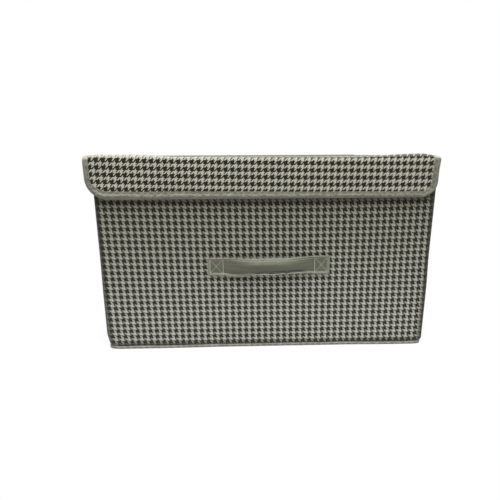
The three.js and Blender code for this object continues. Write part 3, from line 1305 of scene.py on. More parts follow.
@dataclass(frozen=True)
class TapeFinish(Finish):
    """Plain grey-green tape, pressed dots, scuffed ridges painted lit, painted shade in dimples."""

    name: str = "binding_tape"
    base: tuple = colour(119, 119, 105)
    pale: tuple = colour(137, 137, 123)
    deep: tuple = colour(95, 95, 83)
    scuffed_and_lit: tuple = colour(149, 149, 135)
    cream: tuple = colour(192, 186, 171)
    piping: tuple = colour(121, 118, 101)
    dimple_shade: tuple = colour(62, 62, 50)
    dimple: float = 3.0 * MM
    ridge: tuple[float, float] = (3.8 * MM, 8.0 * MM)
    ridge_front: float = -188 * MM
    fold: float = -155.5 * MM
    fold_reach: float = 4.4 * MM
    dimple_shade_share: float = 0.75
    piping_share: float = 0.7
    cream_share: float = 0.3
    cream_fibre_share: float = 0.9

    def make(self) -> bpy.types.Material:
        """Builds the material."""
        paint = Paint(self.name)
        flat = paint.flat()
        fibres = paint.noise(paint.stretched(flat, (0.3, 1, 1)), 0.35 * MM, 3, 0.65)
        cloudy = paint.noise(flat, 7 * MM, 3, 0.6)
        shade = cloudy.between(0.35, 0.7).mix(self.deep, self.base)
        base = fibres.between(0.45, 0.75).mix(shade, self.pale)
        along, around, _ = paint.parts(flat)
        low, high = self.ridge
        # Painted shade in the stitch dimples: dark dashes near the tape's inner edge, one per print
        # repeat.
        dimple = (MM - abs(around - self.dimple)).between(0, 0.7 * MM)
        dashes = abs((along / REPEAT + 0.3).fraction() - 0.5).between(0.3, 0.15)
        base = (dimple * dashes * self.dimple_shade_share).mix(base, self.dimple_shade)
        _, across, _ = paint.parts(paint.cut())
        # Painted highlight on the ridge's upper face, with scuffing; on the lid tape only at the
        # flap's lower edge.
        on_ridge = around.between(low, low + MM) * (high - around).between(0, 1.4 * MM)
        on_flap = (self.ridge_front - across).between(0, 9 * MM)
        blots = paint.noise(paint.stretched(flat, (0.5, 1, 1)), 2.6 * MM, 2, 0.6)
        base = (on_ridge * on_flap * blots.between(0.38, 0.62)).mix(base, self.scuffed_and_lit)
        nose = around.between(8.4 * MM, 9.2 * MM) * (12 * MM - around).between(0, MM)
        base = (nose * self.piping_share).mix(base, self.piping)
        # Painted glare at the lid's fold: the tape turns cream there, as the print does, and is
        # rubbed too.
        near = (self.fold_reach - abs(across - self.fold)).between(0, 3.6 * MM)
        near = near * (self.cream_share + fibres * self.cream_fibre_share)
        base = near.mix(base, self.cream)
        relief = paint.embossed(flat, 0.8 * MM) * 0.5 + fibres * 0.5
        return paint.surface(base, 0.75 + cloudy * 0.15, relief, 0.12 * MM)


@dataclass(frozen=True)
class FootTapeFinish(TapeFinish):
    """The same tape at the foot, painted paler for the light thrown up by the floor."""

    name: str = "foot_tape"
    # Painted light: paler than the tape's own colours, as lit from the floor, its ridge lit most.
    base: tuple = colour(129, 130, 120)
    pale: tuple = colour(149, 149, 141)
    deep: tuple = colour(107, 108, 98)
    scuffed_and_lit: tuple = colour(166, 166, 158)
    piping: tuple = colour(120, 121, 110)
    ridge: tuple[float, float] = (0.8 * MM, 3.0 * MM)
    ridge_front: float = 0.1


@dataclass(frozen=True)
class StrapFinish(Finish):
    """The pull strap's folded cloth: dark field, raised margins rubbed pale and painted lit."""

    base: tuple = colour(90, 93, 77)
    pale: tuple = colour(113, 115, 100)
    deep: tuple = colour(77, 79, 65)
    rubbed_and_lit: tuple = colour(128, 130, 116)
    # The next two colours are painted shade above the lower lip and painted highlight on it.
    painted_shade: tuple = colour(24, 26, 18)
    lip_highlight: tuple = colour(204, 205, 188)
    length: float = 156 * MM
    face: float = 28.2 * MM
    margin_low: float = 4.9 * MM
    margin_high: float = 3.6 * MM
    end_left: float = 3.5 * MM
    end_right: float = 2.8 * MM
    # Where the painted highlight on the top of the arch lies, along and across the strap.
    arch_lit_x: float = 77 * MM
    arch_lit_reach: float = 30 * MM
    arch_lit_low: float = 18 * MM
    under_x: float = 90 * MM
    under_reach: float = 39 * MM
    # The painted shade above the lower lip: its upper end and share.
    painted_shade_high: float = 8.6 * MM
    painted_shade_share: float = 0.9
    lip: float = 3.1 * MM

    def make(self) -> bpy.types.Material:
        """Builds the material."""
        paint = Paint("strap_cloth")
        flat = paint.flat()
        along, around, _ = paint.parts(flat)
        streaks = paint.noise(paint.stretched(flat, (0.05, 1, 1)), 2.2 * MM, 2, 0.5)
        fibres = paint.noise(paint.stretched(flat, (0.5, 1, 1)), 0.45 * MM, 3, 0.65)
        shade = streaks.between(0.35, 0.65).mix(self.deep, self.base)
        plain = fibres.between(0.5, 0.8).mix(shade, self.pale)
        raised = self.margin_low - around
        for inward in (
            around - (self.face - self.margin_high),
            self.end_left - along,
            along - (self.length - self.end_right),
        ):
            raised = raised.larger(inward)
        # The raised margins and ends rubbed pale, also a painted highlight on the rolled edges.
        worn_and_lit = (raised * 1000 + fibres * 1.6 - 0.8).between(-0.2, 0.6)
        base = worn_and_lit.mix(plain, fibres.between(0.3, 0.7).mix(self.pale, self.rubbed_and_lit))
        # Painted highlight, speckled like rubbing, on the top of the strap's arch.
        arch_lit = (self.arch_lit_reach - abs(along - self.arch_lit_x)).between(0, 15 * MM)
        upper = around.between(self.arch_lit_low, self.arch_lit_low + 3.5 * MM)
        specks = paint.noise(paint.stretched(flat, (0.75, 1, 1)), 1.2 * MM, 3, 0.75)
        base = (arch_lit * upper * specks.between(0.46, 0.58)).mix(base, self.rubbed_and_lit)
        # Painted shade in the crease just above the lower lip, where the arched strap turns under.
        under = (self.under_reach - abs(along - self.under_x)).between(0, 14 * MM)
        painted_shade_mask = around.between(self.lip, self.lip + 0.6 * MM) * under
        painted_shade_mask = painted_shade_mask * (self.painted_shade_high - around).between(0, 2.4 * MM)
        base = (painted_shade_mask * self.painted_shade_share).mix(base, self.painted_shade)
        # Painted highlight: the lower lip catches the light as a thin pale line.
        lip = (self.lip - around).between(0, 0.5 * MM) * under
        base = lip.mix(base, self.lip_highlight)
        relief = streaks * 0.5 + fibres * 0.5 + paint.embossed(flat, 1.0 * MM) * 0.5
        return paint.surface(base, 0.7 + fibres * 0.15, relief, 0.14 * MM, sheen=0.15)


@dataclass(frozen=True)
class LiningFinish(Finish):
    """Plain non-woven lining with pressed dots."""

    base: tuple = colour(124, 123, 112)
    deep: tuple = colour(106, 105, 95)

    def make(self) -> bpy.types.Material:
        """Builds the material."""
        paint = Paint("lining_cloth")
        flat = paint.flat()
        fibres = paint.noise(flat, 0.4 * MM, 3, 0.65)
        cloudy = paint.noise(flat, 30 * MM, 2, 0.5)
        base = (cloudy * 0.5 + fibres * 0.5).between(0.35, 0.65).mix(self.deep, self.base)
        relief = paint.embossed(flat, 1.1 * MM) * 0.6 + fibres * 0.4
        return paint.surface(base, 0.8 + fibres * 0.12, relief, 0.15 * MM)


@dataclass(frozen=True)
class BoardFinish(Finish):
    """Raw grey cardboard with flecks."""

    base: tuple = colour(158, 150, 136)
    deep: tuple = colour(136, 128, 114)
    fleck: tuple = colour(96, 88, 76)

    def make(self) -> bpy.types.Material:
        """Builds the material."""
        paint = Paint("grey_cardboard")
        place = paint.place()
        pulp = paint.noise(place, 3 * MM, 4, 0.6)
        flecks = paint.noise(place, 0.7 * MM, 2, 0.5)
        plain = pulp.between(0.35, 0.65).mix(self.deep, self.base)
        base = flecks.between(0.68, 0.74).mix(plain, self.fleck)
        relief = paint.noise(place, 0.5 * MM, 3, 0.6)
        return paint.surface(base, 0.85 + pulp * 0.1, relief, 0.08 * MM, 0.6, 0)


@dataclass(frozen=True)
class ThreadFinish(Finish):
    """Twisted sewing thread: pale on the strap, like the cloth elsewhere."""

    name: str = "sewing_thread"
    base: tuple = colour(174, 175, 162)
    deep: tuple = colour(140, 141, 128)

    def make(self) -> bpy.types.Material:
        """Builds the material."""
        paint = Paint(self.name)
        place = paint.place()
        twist = paint.noise(place, 0.35 * MM, 2, 0.5)
        base = twist.between(0.4, 0.6).mix(self.deep, self.base)
        return paint.surface(base, 0.55 + twist * 0.2, twist, 0.08 * MM, 0.7)


@dataclass(frozen=True)
class FastenerFinish(Finish):
    """The dark pile of a hook-and-loop fastener."""

    base: tuple = colour(84, 85, 78)
    deep: tuple = colour(52, 53, 48)

    def make(self) -> bpy.types.Material:
        """Builds the material."""
        paint = Paint("fastener_pile")
        flat = paint.flat()
        tufts = paint.dots(flat, 0.7 * MM, 0.5)
        fuzz = paint.noise(flat, 0.25 * MM, 3, 0.7)
        base = (tufts * 0.7 + fuzz * 0.5).between(0.35, 0.75).mix(self.base, self.deep)
        relief = fuzz * 0.5 + (1 - tufts) * 0.6
        return paint.surface(base, 0.85 + fuzz * 0.1, relief, 0.4 * MM, 1.0, 0.3)


TAPE_THREAD = colour(122, 122, 108)
TAPE_THREAD_DEEP = colour(92, 92, 80)
FINISHES: dict[Slot, Finish] = {
    Slot.PRINT: PrintFinish(),
    Slot.TAPE: TapeFinish(),
    Slot.STRAP: StrapFinish(),
    Slot.LINING: LiningFinish(),
    Slot.BOARD: BoardFinish(),
    Slot.FASTENER: FastenerFinish(),
}


# How the cloth was cut from its print


@dataclass(frozen=True)
class WallPrint:
    """Where the print of the wall cloth lies: columns that lean a little, rows that dip."""

    column: float = 8.46 * MM
    column_start: float = 2.36 * MM
    lean: float = -0.0178
    lean_from: float = 55 * MM
    low_row: float = 7.976 * MM
    high_row: float = 8.139 * MM

    def chart(self, x: np.ndarray, y: np.ndarray) -> np.ndarray:
        """The print's UV at each place of the wall cloth.

        Args:
            x: Places round the walls.
            y: Heights.

        Returns:
            The UV, where one repeat of the print is REPEAT metres.
        """
        inside = np.clip(x, -0.21, 0.21) / 0.2
        low_start = (-3.85 - 0.9 * inside + 0.55 * inside**2) * MM
        high_start = (1.55 - 0.75 * inside + 1.75 * inside**2) * MM
        columns = (x - self.column_start - self.lean * (y - self.lean_from)) / self.column
        low = (y - low_start) / self.low_row
        high = (y - high_start) / self.high_row + 1
        share = smooth(y, 70 * MM, 115 * MM)
        drift = 1.1 * MM * smooth(x, 125 * MM, 185 * MM) * smooth(y, 60 * MM, 130 * MM)
        columns = columns + drift / self.column
        return np.dstack([columns, low * (1 - share) + high * share]) * REPEAT


@dataclass(frozen=True)
class LidPrint:
    """Where the print of the lid cloth lies: turned by a quarter, its rows sinking to the right."""

    column: float = 7.93 * MM
    column_start: float = 1.88 * MM
    row: float = 8.374 * MM
    turn: float = 0.254

    def chart(self, x: np.ndarray, height: np.ndarray) -> np.ndarray:
        """The print's UV at each place of the lid cloth.

        Args:
            x: Places across the lid.
            height: Heights on the flap, carried on over the fold and the lid.

        Returns:
            The UV, where one repeat of the print is REPEAT metres.
        """
        inside = np.clip(x, -0.22, 0.22) / 0.2
        start = (-5.0 - 3.0 * inside + 1.3 * inside**2) * MM
        rows = (height - start) / self.row
        columns = 0.5 + 2 * self.turn - (x - self.column_start) / self.column
        return np.dstack([rows, columns]) * REPEAT


# The box's sub-assemblies


def dress_boards(*names: str) -> None:
    """Gives stiff boards of the frame their cardboard.

    Args:
        *names: The names of their solids.
    """
    for name in names:
        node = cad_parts[name]
        node.data.materials.clear()
        node.data.materials.append(material_of(FINISHES[Slot.BOARD]))


@dataclass
class Assembly:
    """Some of the box's pieces, which are built together."""

    pieces: list[Piece] = field(default_factory=list)

    def build(self) -> None:
        """Builds the pieces and dresses the stiff boards among them."""
        raise NotImplementedError


def binding_rings(
    line: Outline,
    seed: int,
    widen: float | np.ndarray = 0.0,
    gather: float | np.ndarray = 0.0,
    press: float | np.ndarray = 0.0,
) -> np.ndarray:
    """The section of a tape folded round an edge, at each place of the edge.

    Args:
        line: The tape's outermost line.
        seed: Which puckers.
        widen: How much wider it is than usual, as a share, at each place.
        gather: How strongly it is gathered there.
        press: How much flatter it is pressed there.

    Returns:
        The rings for band(); the outer face of what is bound is at height 0.
    """
    outer = np.array(
        [
            (-7.8, 0.06), (-7.8, 0.45), (-7.3, 0.68), (-6.7, 0.4), (-6.1, 0.72), (-5.2, 1.35),
            (-4.1, 1.62), (-2.9, 1.38), (-1.6, 0.72), (-0.4, -0.3), (0.35, -1.3),
        ]
    )
    outer = outer * MM
    fullness, pucker_share, creep_depth, sway = 1.27, 0.25, 0.28 * MM, 0.35 * MM
    outer[:, 1] = np.where(outer[:, 1] > 0, outer[:, 1] * fullness, outer[:, 1])
    middle = np.array([[0.6 * MM, -PANEL / 2]])
    inner = outer[::-1] * np.array([1, -1]) - np.array([0, PANEL])
    lining = np.array([(-TAPE_WIDTH + 0.1 * MM, 0.05 * MM), (-1.35 * MM, 0.05 * MM)])
    nose = np.array([(-0.85 * MM, -PANEL / 2)])
    back = lining * np.array([1, -1]) - np.array([0, PANEL])
    ring = np.concatenate([outer, middle, inner, back, nose, lining[::-1], outer[:1]])
    rings = line.rings(ring)
    along = line.along

    def uneven(which: int, spacing: float) -> np.ndarray:
        """The height of one of the tape's uneven lines, from -1 to 1."""
        return Wobble(seed + which, spacing, along[-1]).at(along)

    swell = 1 + pucker_share * uneven(0, 6 * MM)
    swell = (swell + gather * uneven(5, 2.8 * MM)) * (1 - press)
    swell_inner = (1 + pucker_share * uneven(1, 6 * MM)) * (1 - press)
    creep = creep_depth * uneven(2, 9 * MM) + sway * uneven(4, 70 * MM)
    creep_inner = creep_depth * uneven(3, 9 * MM)
    face = ring[:, 1] > 0
    under = ring[:, 1] < -PANEL
    rings[:, face, 1] *= swell[:, None]
    rings[:, under, 1] = -PANEL + (rings[:, under, 1] + PANEL) * swell_inner[:, None]
    free = ring[:, 0] < -6 * MM
    rings[:, free & face, 0] += creep[:, None]
    rings[:, free & under, 0] += creep_inner[:, None]
    wider = np.broadcast_to(1 + widen, along.shape)[:, None]
    rings[:, :, 0] = np.where(rings[:, :, 0] < 0, rings[:, :, 0] * wider, rings[:, :, 0])
    return rings


@dataclass
class Walls(Assembly):
    """The walls: their cloth, lining, tapes, bottom sheet and boards."""

    lay: WallLay = field(default_factory=WallLay)
    pattern: WallPrint = field(default_factory=WallPrint)
    bottom: float = 1.1 * MM
    top: float = 242 * MM
    rim_top: float = 243.1 * MM
    cover: float = 1.0 * MM
    lining: float = 0.8 * MM
    wave: float = 0.65 * MM
    lining_wave: float = 0.5 * MM
    bulge_left: float = 2.6 * MM
    bulge_right: float = 2.75 * MM
    sack_left: float = 0.5 * MM
    sack_right: float = 1.3 * MM
    crease_dip: float = 1.2 * MM
    lining_crease: float = 1.0 * MM
    crease_width: float = 9 * MM
    foot_tape: float = 4 * MM
    foot_under: float = 9 * MM
    foot_lean: float = 1.2 * MM
    foot_right: float = 1.7 * MM
    groove: float = 1.25 * MM
    groove_height: float = 5 * MM
    groove_left_share: float = 0.4
    groove_right_share: float = 0.1

    def from_corner(self, x: np.ndarray) -> np.ndarray:
        """How far places round the walls are from the middle of the nearest corner.

        Args:
            x: Places round the walls; they may be counted on past the middle of the back.

        Returns:
            The distance along the cloth.
        """
        folded = self.folded(x)
        front = np.abs(folded - self.lay.front_end - self.lay.arc / 2)
        rear = np.abs(folded - self.lay.side_end - self.lay.arc / 2)
        return np.minimum(front, rear)

    def folded(self, x: np.ndarray) -> np.ndarray:
        """Places round the walls, counted from the middle of the front on either side."""
        return self.lay.half_round - np.abs(np.abs(x) - self.lay.half_round)

    def crease(self, x: np.ndarray, depth: float) -> np.ndarray:
        """The side walls' upright creases, on which they fold.

        Args:
            x: Places round the walls.
            depth: How deep the creases are.

        Returns:
            The depth at each place.
        """
        off_crease = np.abs(np.abs(x) - self.lay.side_middle)
        share = np.clip(2 * off_crease / self.crease_width, 0, 1)
        return depth * (1 + np.cos(math.pi * share)) / 2

    def side_bulge(self, x: np.ndarray, y: np.ndarray) -> np.ndarray:
        """How far the side walls bulge, from their front corners to their rear ones.

        Args:
            x: Places round the walls; they may be counted on past the middle of the back.
            y: Heights.

        Returns:
            The bulge at each place.
        """
        lay = self.lay
        middle = (lay.front_end + lay.side_end + lay.arc) / 2
        off_middle = np.abs(self.folded(x) - middle)
        reach = middle - lay.front_end
        share = smooth(off_middle, reach, reach - lay.arc)
        low = smooth(y, 2 * MM, np.where(x > 0, 7 * MM, 22 * MM))
        sack = np.where(x > 0, self.sack_right, self.sack_left) * smooth(y, 130 * MM, 70 * MM)
        bulge = np.where(x > 0, self.bulge_right, self.bulge_left) + sack
        return bulge * share * low * smooth(y, 235 * MM, 222 * MM)

    def cover_height(self, x: np.ndarray, y: np.ndarray) -> np.ndarray:
        """The relief of the printed cloth: waves, side creases, and the tuck over the foot tape.

        Args:
            x: Places round the walls.
            y: Heights.

        Returns:
            The height off the wall's outer face.
        """
        waves = Ripples(11, 60 * MM, 170 * MM).at(x, y)
        clear = smooth(self.from_corner(x), 5 * MM, 14 * MM)
        tuck = self.groove * smooth((y - self.foot_tape) / self.groove_height, 1.0, 0.25)
        uneven = 0.8 + 0.2 * Wobble(21, 17 * MM, 1.5).at(x + 0.75)
        at_corner = np.where(x > 0, self.groove_right_share, self.groove_left_share)
        uneven = uneven * (at_corner + (1 - at_corner) * clear)
        dip = np.maximum(self.crease(x, self.crease_dip), tuck * uneven)
        return self.wave * waves * clear + self.side_bulge(x, y) - dip

    def lining_height(self, x: np.ndarray, y: np.ndarray) -> np.ndarray:
        """The relief of the lining, which bulges into the box.

        Args:
            x: Places round the walls.
            y: Heights.

        Returns:
            The height off the wall's outer face.
        """
        waves = Ripples(13, 70 * MM, 180 * MM).at(x, y)
        clear = smooth(y, 14 * MM, 50 * MM) * smooth(y, 232 * MM, 205 * MM)
        clear = clear * smooth(self.from_corner(x), 8 * MM, 35 * MM)
        start = self.lining - PANEL
        return start + self.crease(x, self.lining_crease) - self.lining_wave * waves * clear

    def build_covers(self) -> None:
        """Builds the printed cloth of the front and sides, and that of the back."""
        lay = self.lay
        seam = lay.side_end - 0.15 * MM
        front = lay.corner_stations(-seam, seam, 4 * MM)
        half = lay.corner_stations(seam + 0.3 * MM, lay.half_round, 4 * MM)
        back = np.concatenate([half, 2 * lay.half_round - half[-2::-1]])
        rows = stations(self.bottom, self.top, 4 * MM, (4 * MM, 12 * MM, 0.7 * MM))
        for name, node, places in (
            ("wall_cloth_front_and_sides", "front_and_sides_cover", front),
            ("wall_cloth_back", "back_cover", back),
        ):
            x, y = np.meshgrid(places, rows)
            maker = grid(np.dstack([x, y, self.cover_height(x, y)]), self.pattern.chart(x, y), lay)
            piece = thickened(finished(maker, name, Slot.PRINT, WallPrintFinish()), self.cover)
            self.pieces.append(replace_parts(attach(piece, Body.WALLS.value), node))

    def build_lining(self) -> None:
        """Builds the lining of the walls."""
        lay = self.lay
        places = lay.corner_stations(-lay.half_round, lay.half_round, 5 * MM)
        x, y = np.meshgrid(places, stations(2.2 * MM, self.top, 5 * MM))
        maker = grid(np.dstack([x, y, self.lining_height(x, y)]), np.dstack([x, y]), lay)
        piece = thickened(finished(maker, "wall_lining", Slot.LINING), self.lining)
        self.pieces.append(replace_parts(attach(piece, Body.WALLS.value), "inner_lining"))

    def round_line(self, height: float, out: float) -> Outline:
        """A level line all round the walls, where the cloth ends upwards (1) or downwards (-1)."""
        half = self.lay.half_round
        return level(self.lay.corner_stations(-half, half, 2.5 * MM), height, out)

    def build_rim_tape(self) -> None:
        """Builds the tape folded round the walls' upper edge, and its stitches."""
        line = self.round_line(self.rim_top, 1)
        rings = binding_rings(line, 31)
        tape = band("rim_tape", Slot.TAPE, self.lay, line, rings)
        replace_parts(tape, "rim_binding")
        places, ways = line.moved(-SEAM_INSET).paced(STITCH_PITCH)
        pieces = [tape, *sewn_through("rim_stitches", self.lay, places, ways, 0.6 * MM)]
        self.pieces += [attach(piece, Body.WALLS.value) for piece in pieces]

    def build_foot_tape(self) -> None:
        """Builds the tape round the foot of the walls and under them, and its stitches."""
        line = self.round_line(0, -1)
        section = np.array(
            [
                (-4.1, -0.6), (-4.1, -0.1), (-3.9, 0.4), (-3.5, 0.66), (-3.0, 0.7), (-2.5, 0.6),
                (-2.0, 0.68), (-1.4, 0.7), (-0.8, 0.5), (-0.3, 0.0), (0.0, -0.9), (0.0, -9.0),
                (-0.8, -9.0), (-0.8, -1.2), (-1.2, -0.75), (-1.9, -0.6),
            ]
        )
        ring = np.concatenate([section, section[:1]]) * MM
        rings = line.rings(ring)
        along = line.along
        swell = 1 + 0.22 * Wobble(41, 7 * MM, along[-1]).at(along)
        face = ring[:, 1] > 0.3 * MM
        x = line.points[:, 0]
        swell = swell * (0.35 + 0.65 * smooth(self.from_corner(x), 4 * MM, 12 * MM))
        rings[:, face, 1] *= swell[:, None]
        ends = smooth(x, 100 * MM, 175 * MM) * smooth(x, 208 * MM, 198 * MM)
        ends = ends + smooth(-x, 40 * MM, 140 * MM) * smooth(-x, 205 * MM, 193 * MM)
        front = np.arange(len(ring)) % len(section) < 11
        side = smooth(x, 201 * MM, 211 * MM) * smooth(x, 470 * MM, 440 * MM)
        rings[:, front, 1] += (self.foot_lean * ends + self.foot_right * side)[:, None]
        edge = ring[:, 0] < -3.7 * MM
        rings[:, edge, 0] += (0.3 * MM * Wobble(42, 11 * MM, along[-1]).at(along))[:, None]
        tape = band("foot_tape", Slot.TAPE, self.lay, line, rings, finish=FootTapeFinish())
        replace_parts(tape, "bottom_binding")
        places, ways = line.moved(-2.6 * MM).paced(STITCH_PITCH)
        sewn = stitches("foot_stitches", Slot.TAPE, self.lay, places, ways, 0.6 * MM)
        self.pieces += [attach(piece, Body.WALLS.value) for piece in (tape, sewn)]

    def build_bottom(self) -> None:
        """Builds the bottom sheet, which steps up over the foot tape at its margin."""
        inset = self.cover + 0.3 * MM
        x, y = self.lay.half_width - inset, self.lay.half_depth - inset
        radius = self.lay.radius - inset
        line = rounded((-x, -y), (x, y), [radius] * 4, 20 * MM)
        maker = bmesh.new()
        corners = [maker.verts.new((px, py, 1.9 * MM)) for px, py in line.points[:-1]]
        face = maker.faces.new(corners)
        margin = self.foot_under + 0.3 * MM - inset
        bmesh.ops.inset_region(maker, faces=[face], thickness=margin, use_even_offset=True)
        bmesh.ops.inset_region(maker, faces=[face], thickness=1.0 * MM, use_even_offset=True)
        bmesh.ops.translate(maker, vec=(0, 0, -1.1 * MM), verts=face.verts)
        maker.verts.index_update()
        map_uv(maker, "Flat", [(vertex.co.x, vertex.co.y) for vertex in maker.verts])
        piece = thickened(finished(maker, "bottom_cloth", Slot.LINING), self.lining)
        self.pieces.append(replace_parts(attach(piece, Body.WALLS.value), "bottom_sheet"))

    def build_seams(self) -> None:
        """Builds the stitches beside the upright seams at the rear corners."""
        lines = [side * (self.lay.side_end + gap) for side in (-1, 1) for gap in (-3 * MM, 3 * MM)]
        heights = np.arange(14 * MM, 232 * MM, STITCH_PITCH)
        places = np.array([(line, height) for line in lines for height in heights])
        ways = np.tile([0, 1], (len(places), 1))
        piece = stitches("corner_seam_stitches", Slot.PRINT, self.lay, places, ways, 0.1 * MM)
        self.pieces.append(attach(piece, Body.WALLS.value))

    def build(self) -> None:
        """Builds all pieces of the walls, and gives their stiff boards their cardboard."""
        self.build_covers()
        self.build_lining()
        self.build_bottom()
        self.build_seams()
        self.build_rim_tape()
        self.build_foot_tape()
        halves = [f"{side}_board_{end}" for side in ("left", "right") for end in ("front", "rear")]
        dress_boards("front_board", "back_board", *halves)


@dataclass
class Hinge(Assembly):
    """The tape that holds the lid: sewn to the back and to the lid, with a roll between."""

    left: float = -202.2 * MM
    right: float = 193.8 * MM
    bottom: float = 221.1 * MM
    face_y: float = 152.4 * MM
    axis_y: float = 152.7 * MM
    axis_z: float = 250.3 * MM
    roll: float = 0.45 * MM
    thickness: float = 1.0 * MM

    def build(self) -> None:
        """Builds the half on the back wall, which ends in a roll, and the half on the lid."""
        face, bottom, axis = self.face_y, self.bottom, self.axis_z
        inner = face - self.thickness
        roll = [
            (self.axis_y + self.roll * math.cos(turn), axis + self.roll * math.sin(turn))
            for turn in np.linspace(0, math.pi, 7)
        ]
        back = [
            (inner, bottom), (face - 0.2 * MM, bottom), (face, bottom + 0.4 * MM),
            (face, bottom + 3 * MM), (face + 0.25 * MM, bottom + 8 * MM),
            (face, bottom + 22 * MM), (face + 0.2 * MM, axis - 3 * MM), *roll,
            (face - 0.6 * MM, axis - 3 * MM), (inner, axis - 8 * MM),
        ]
        lid = [(-0.5, -0.1), (-0.55, 0.0), (-1.2, 0.2), (-2.2, -0.2), (-2.4, -1.2), (-0.9, -1.0)]
        lid = [(self.axis_y + y * MM, axis + z * MM) for y, z in lid]
        tape = self.swept("hinge_tape_back", back)
        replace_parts(tape, "hinge_strip")
        self.pieces.append(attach(tape, Body.WALLS.value))
        places, ways = self.line().paced(STITCH_PITCH)
        lay = FaceLay(face, True)
        for name, height in (("lower", 3.2 * MM), ("upper", 19 * MM)):
            row = np.stack([-places[:, 0], np.full(len(places), bottom + height)], axis=1)
            sewn = stitches(f"hinge_stitches_{name}", Slot.TAPE, lay, row, ways, 0.1 * MM)
            self.pieces.append(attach(sewn, Body.WALLS.value))
        self.pieces.append(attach(self.swept("hinge_tape_lid", lid), Body.LID.value))

    def line(self) -> Outline:
        """The line along the hinge, in X."""
        return level(stations(self.left, self.right, 3 * MM))

    def swept(self, name: str, section: list[tuple[float, float]]) -> Piece:
        """A strip with one section all the way, rounded off at its ends.

        Args:
            name: The piece's name.
            section: The section's points in Y and Z.

        Returns:
            The piece.
        """
        ring = np.array([*section, section[0]])
        middle = ring[:-1].mean(axis=0)
        line = self.line()
        rings = line.rings(ring)
        for index in (0, -1):
            rings[index] = ring * [1, 0.98] + middle * [0, 0.02]
        piece = band(name, Slot.TAPE, Lay(), line, rings)
        maker = bmesh.new()
        maker.from_mesh(piece.data)
        bmesh.ops.holes_fill(maker, edges=[edge for edge in maker.edges if edge.is_boundary])
        bmesh.ops.recalc_face_normals(maker, faces=maker.faces)
        maker.to_mesh(piece.data)
        maker.free()
        return piece


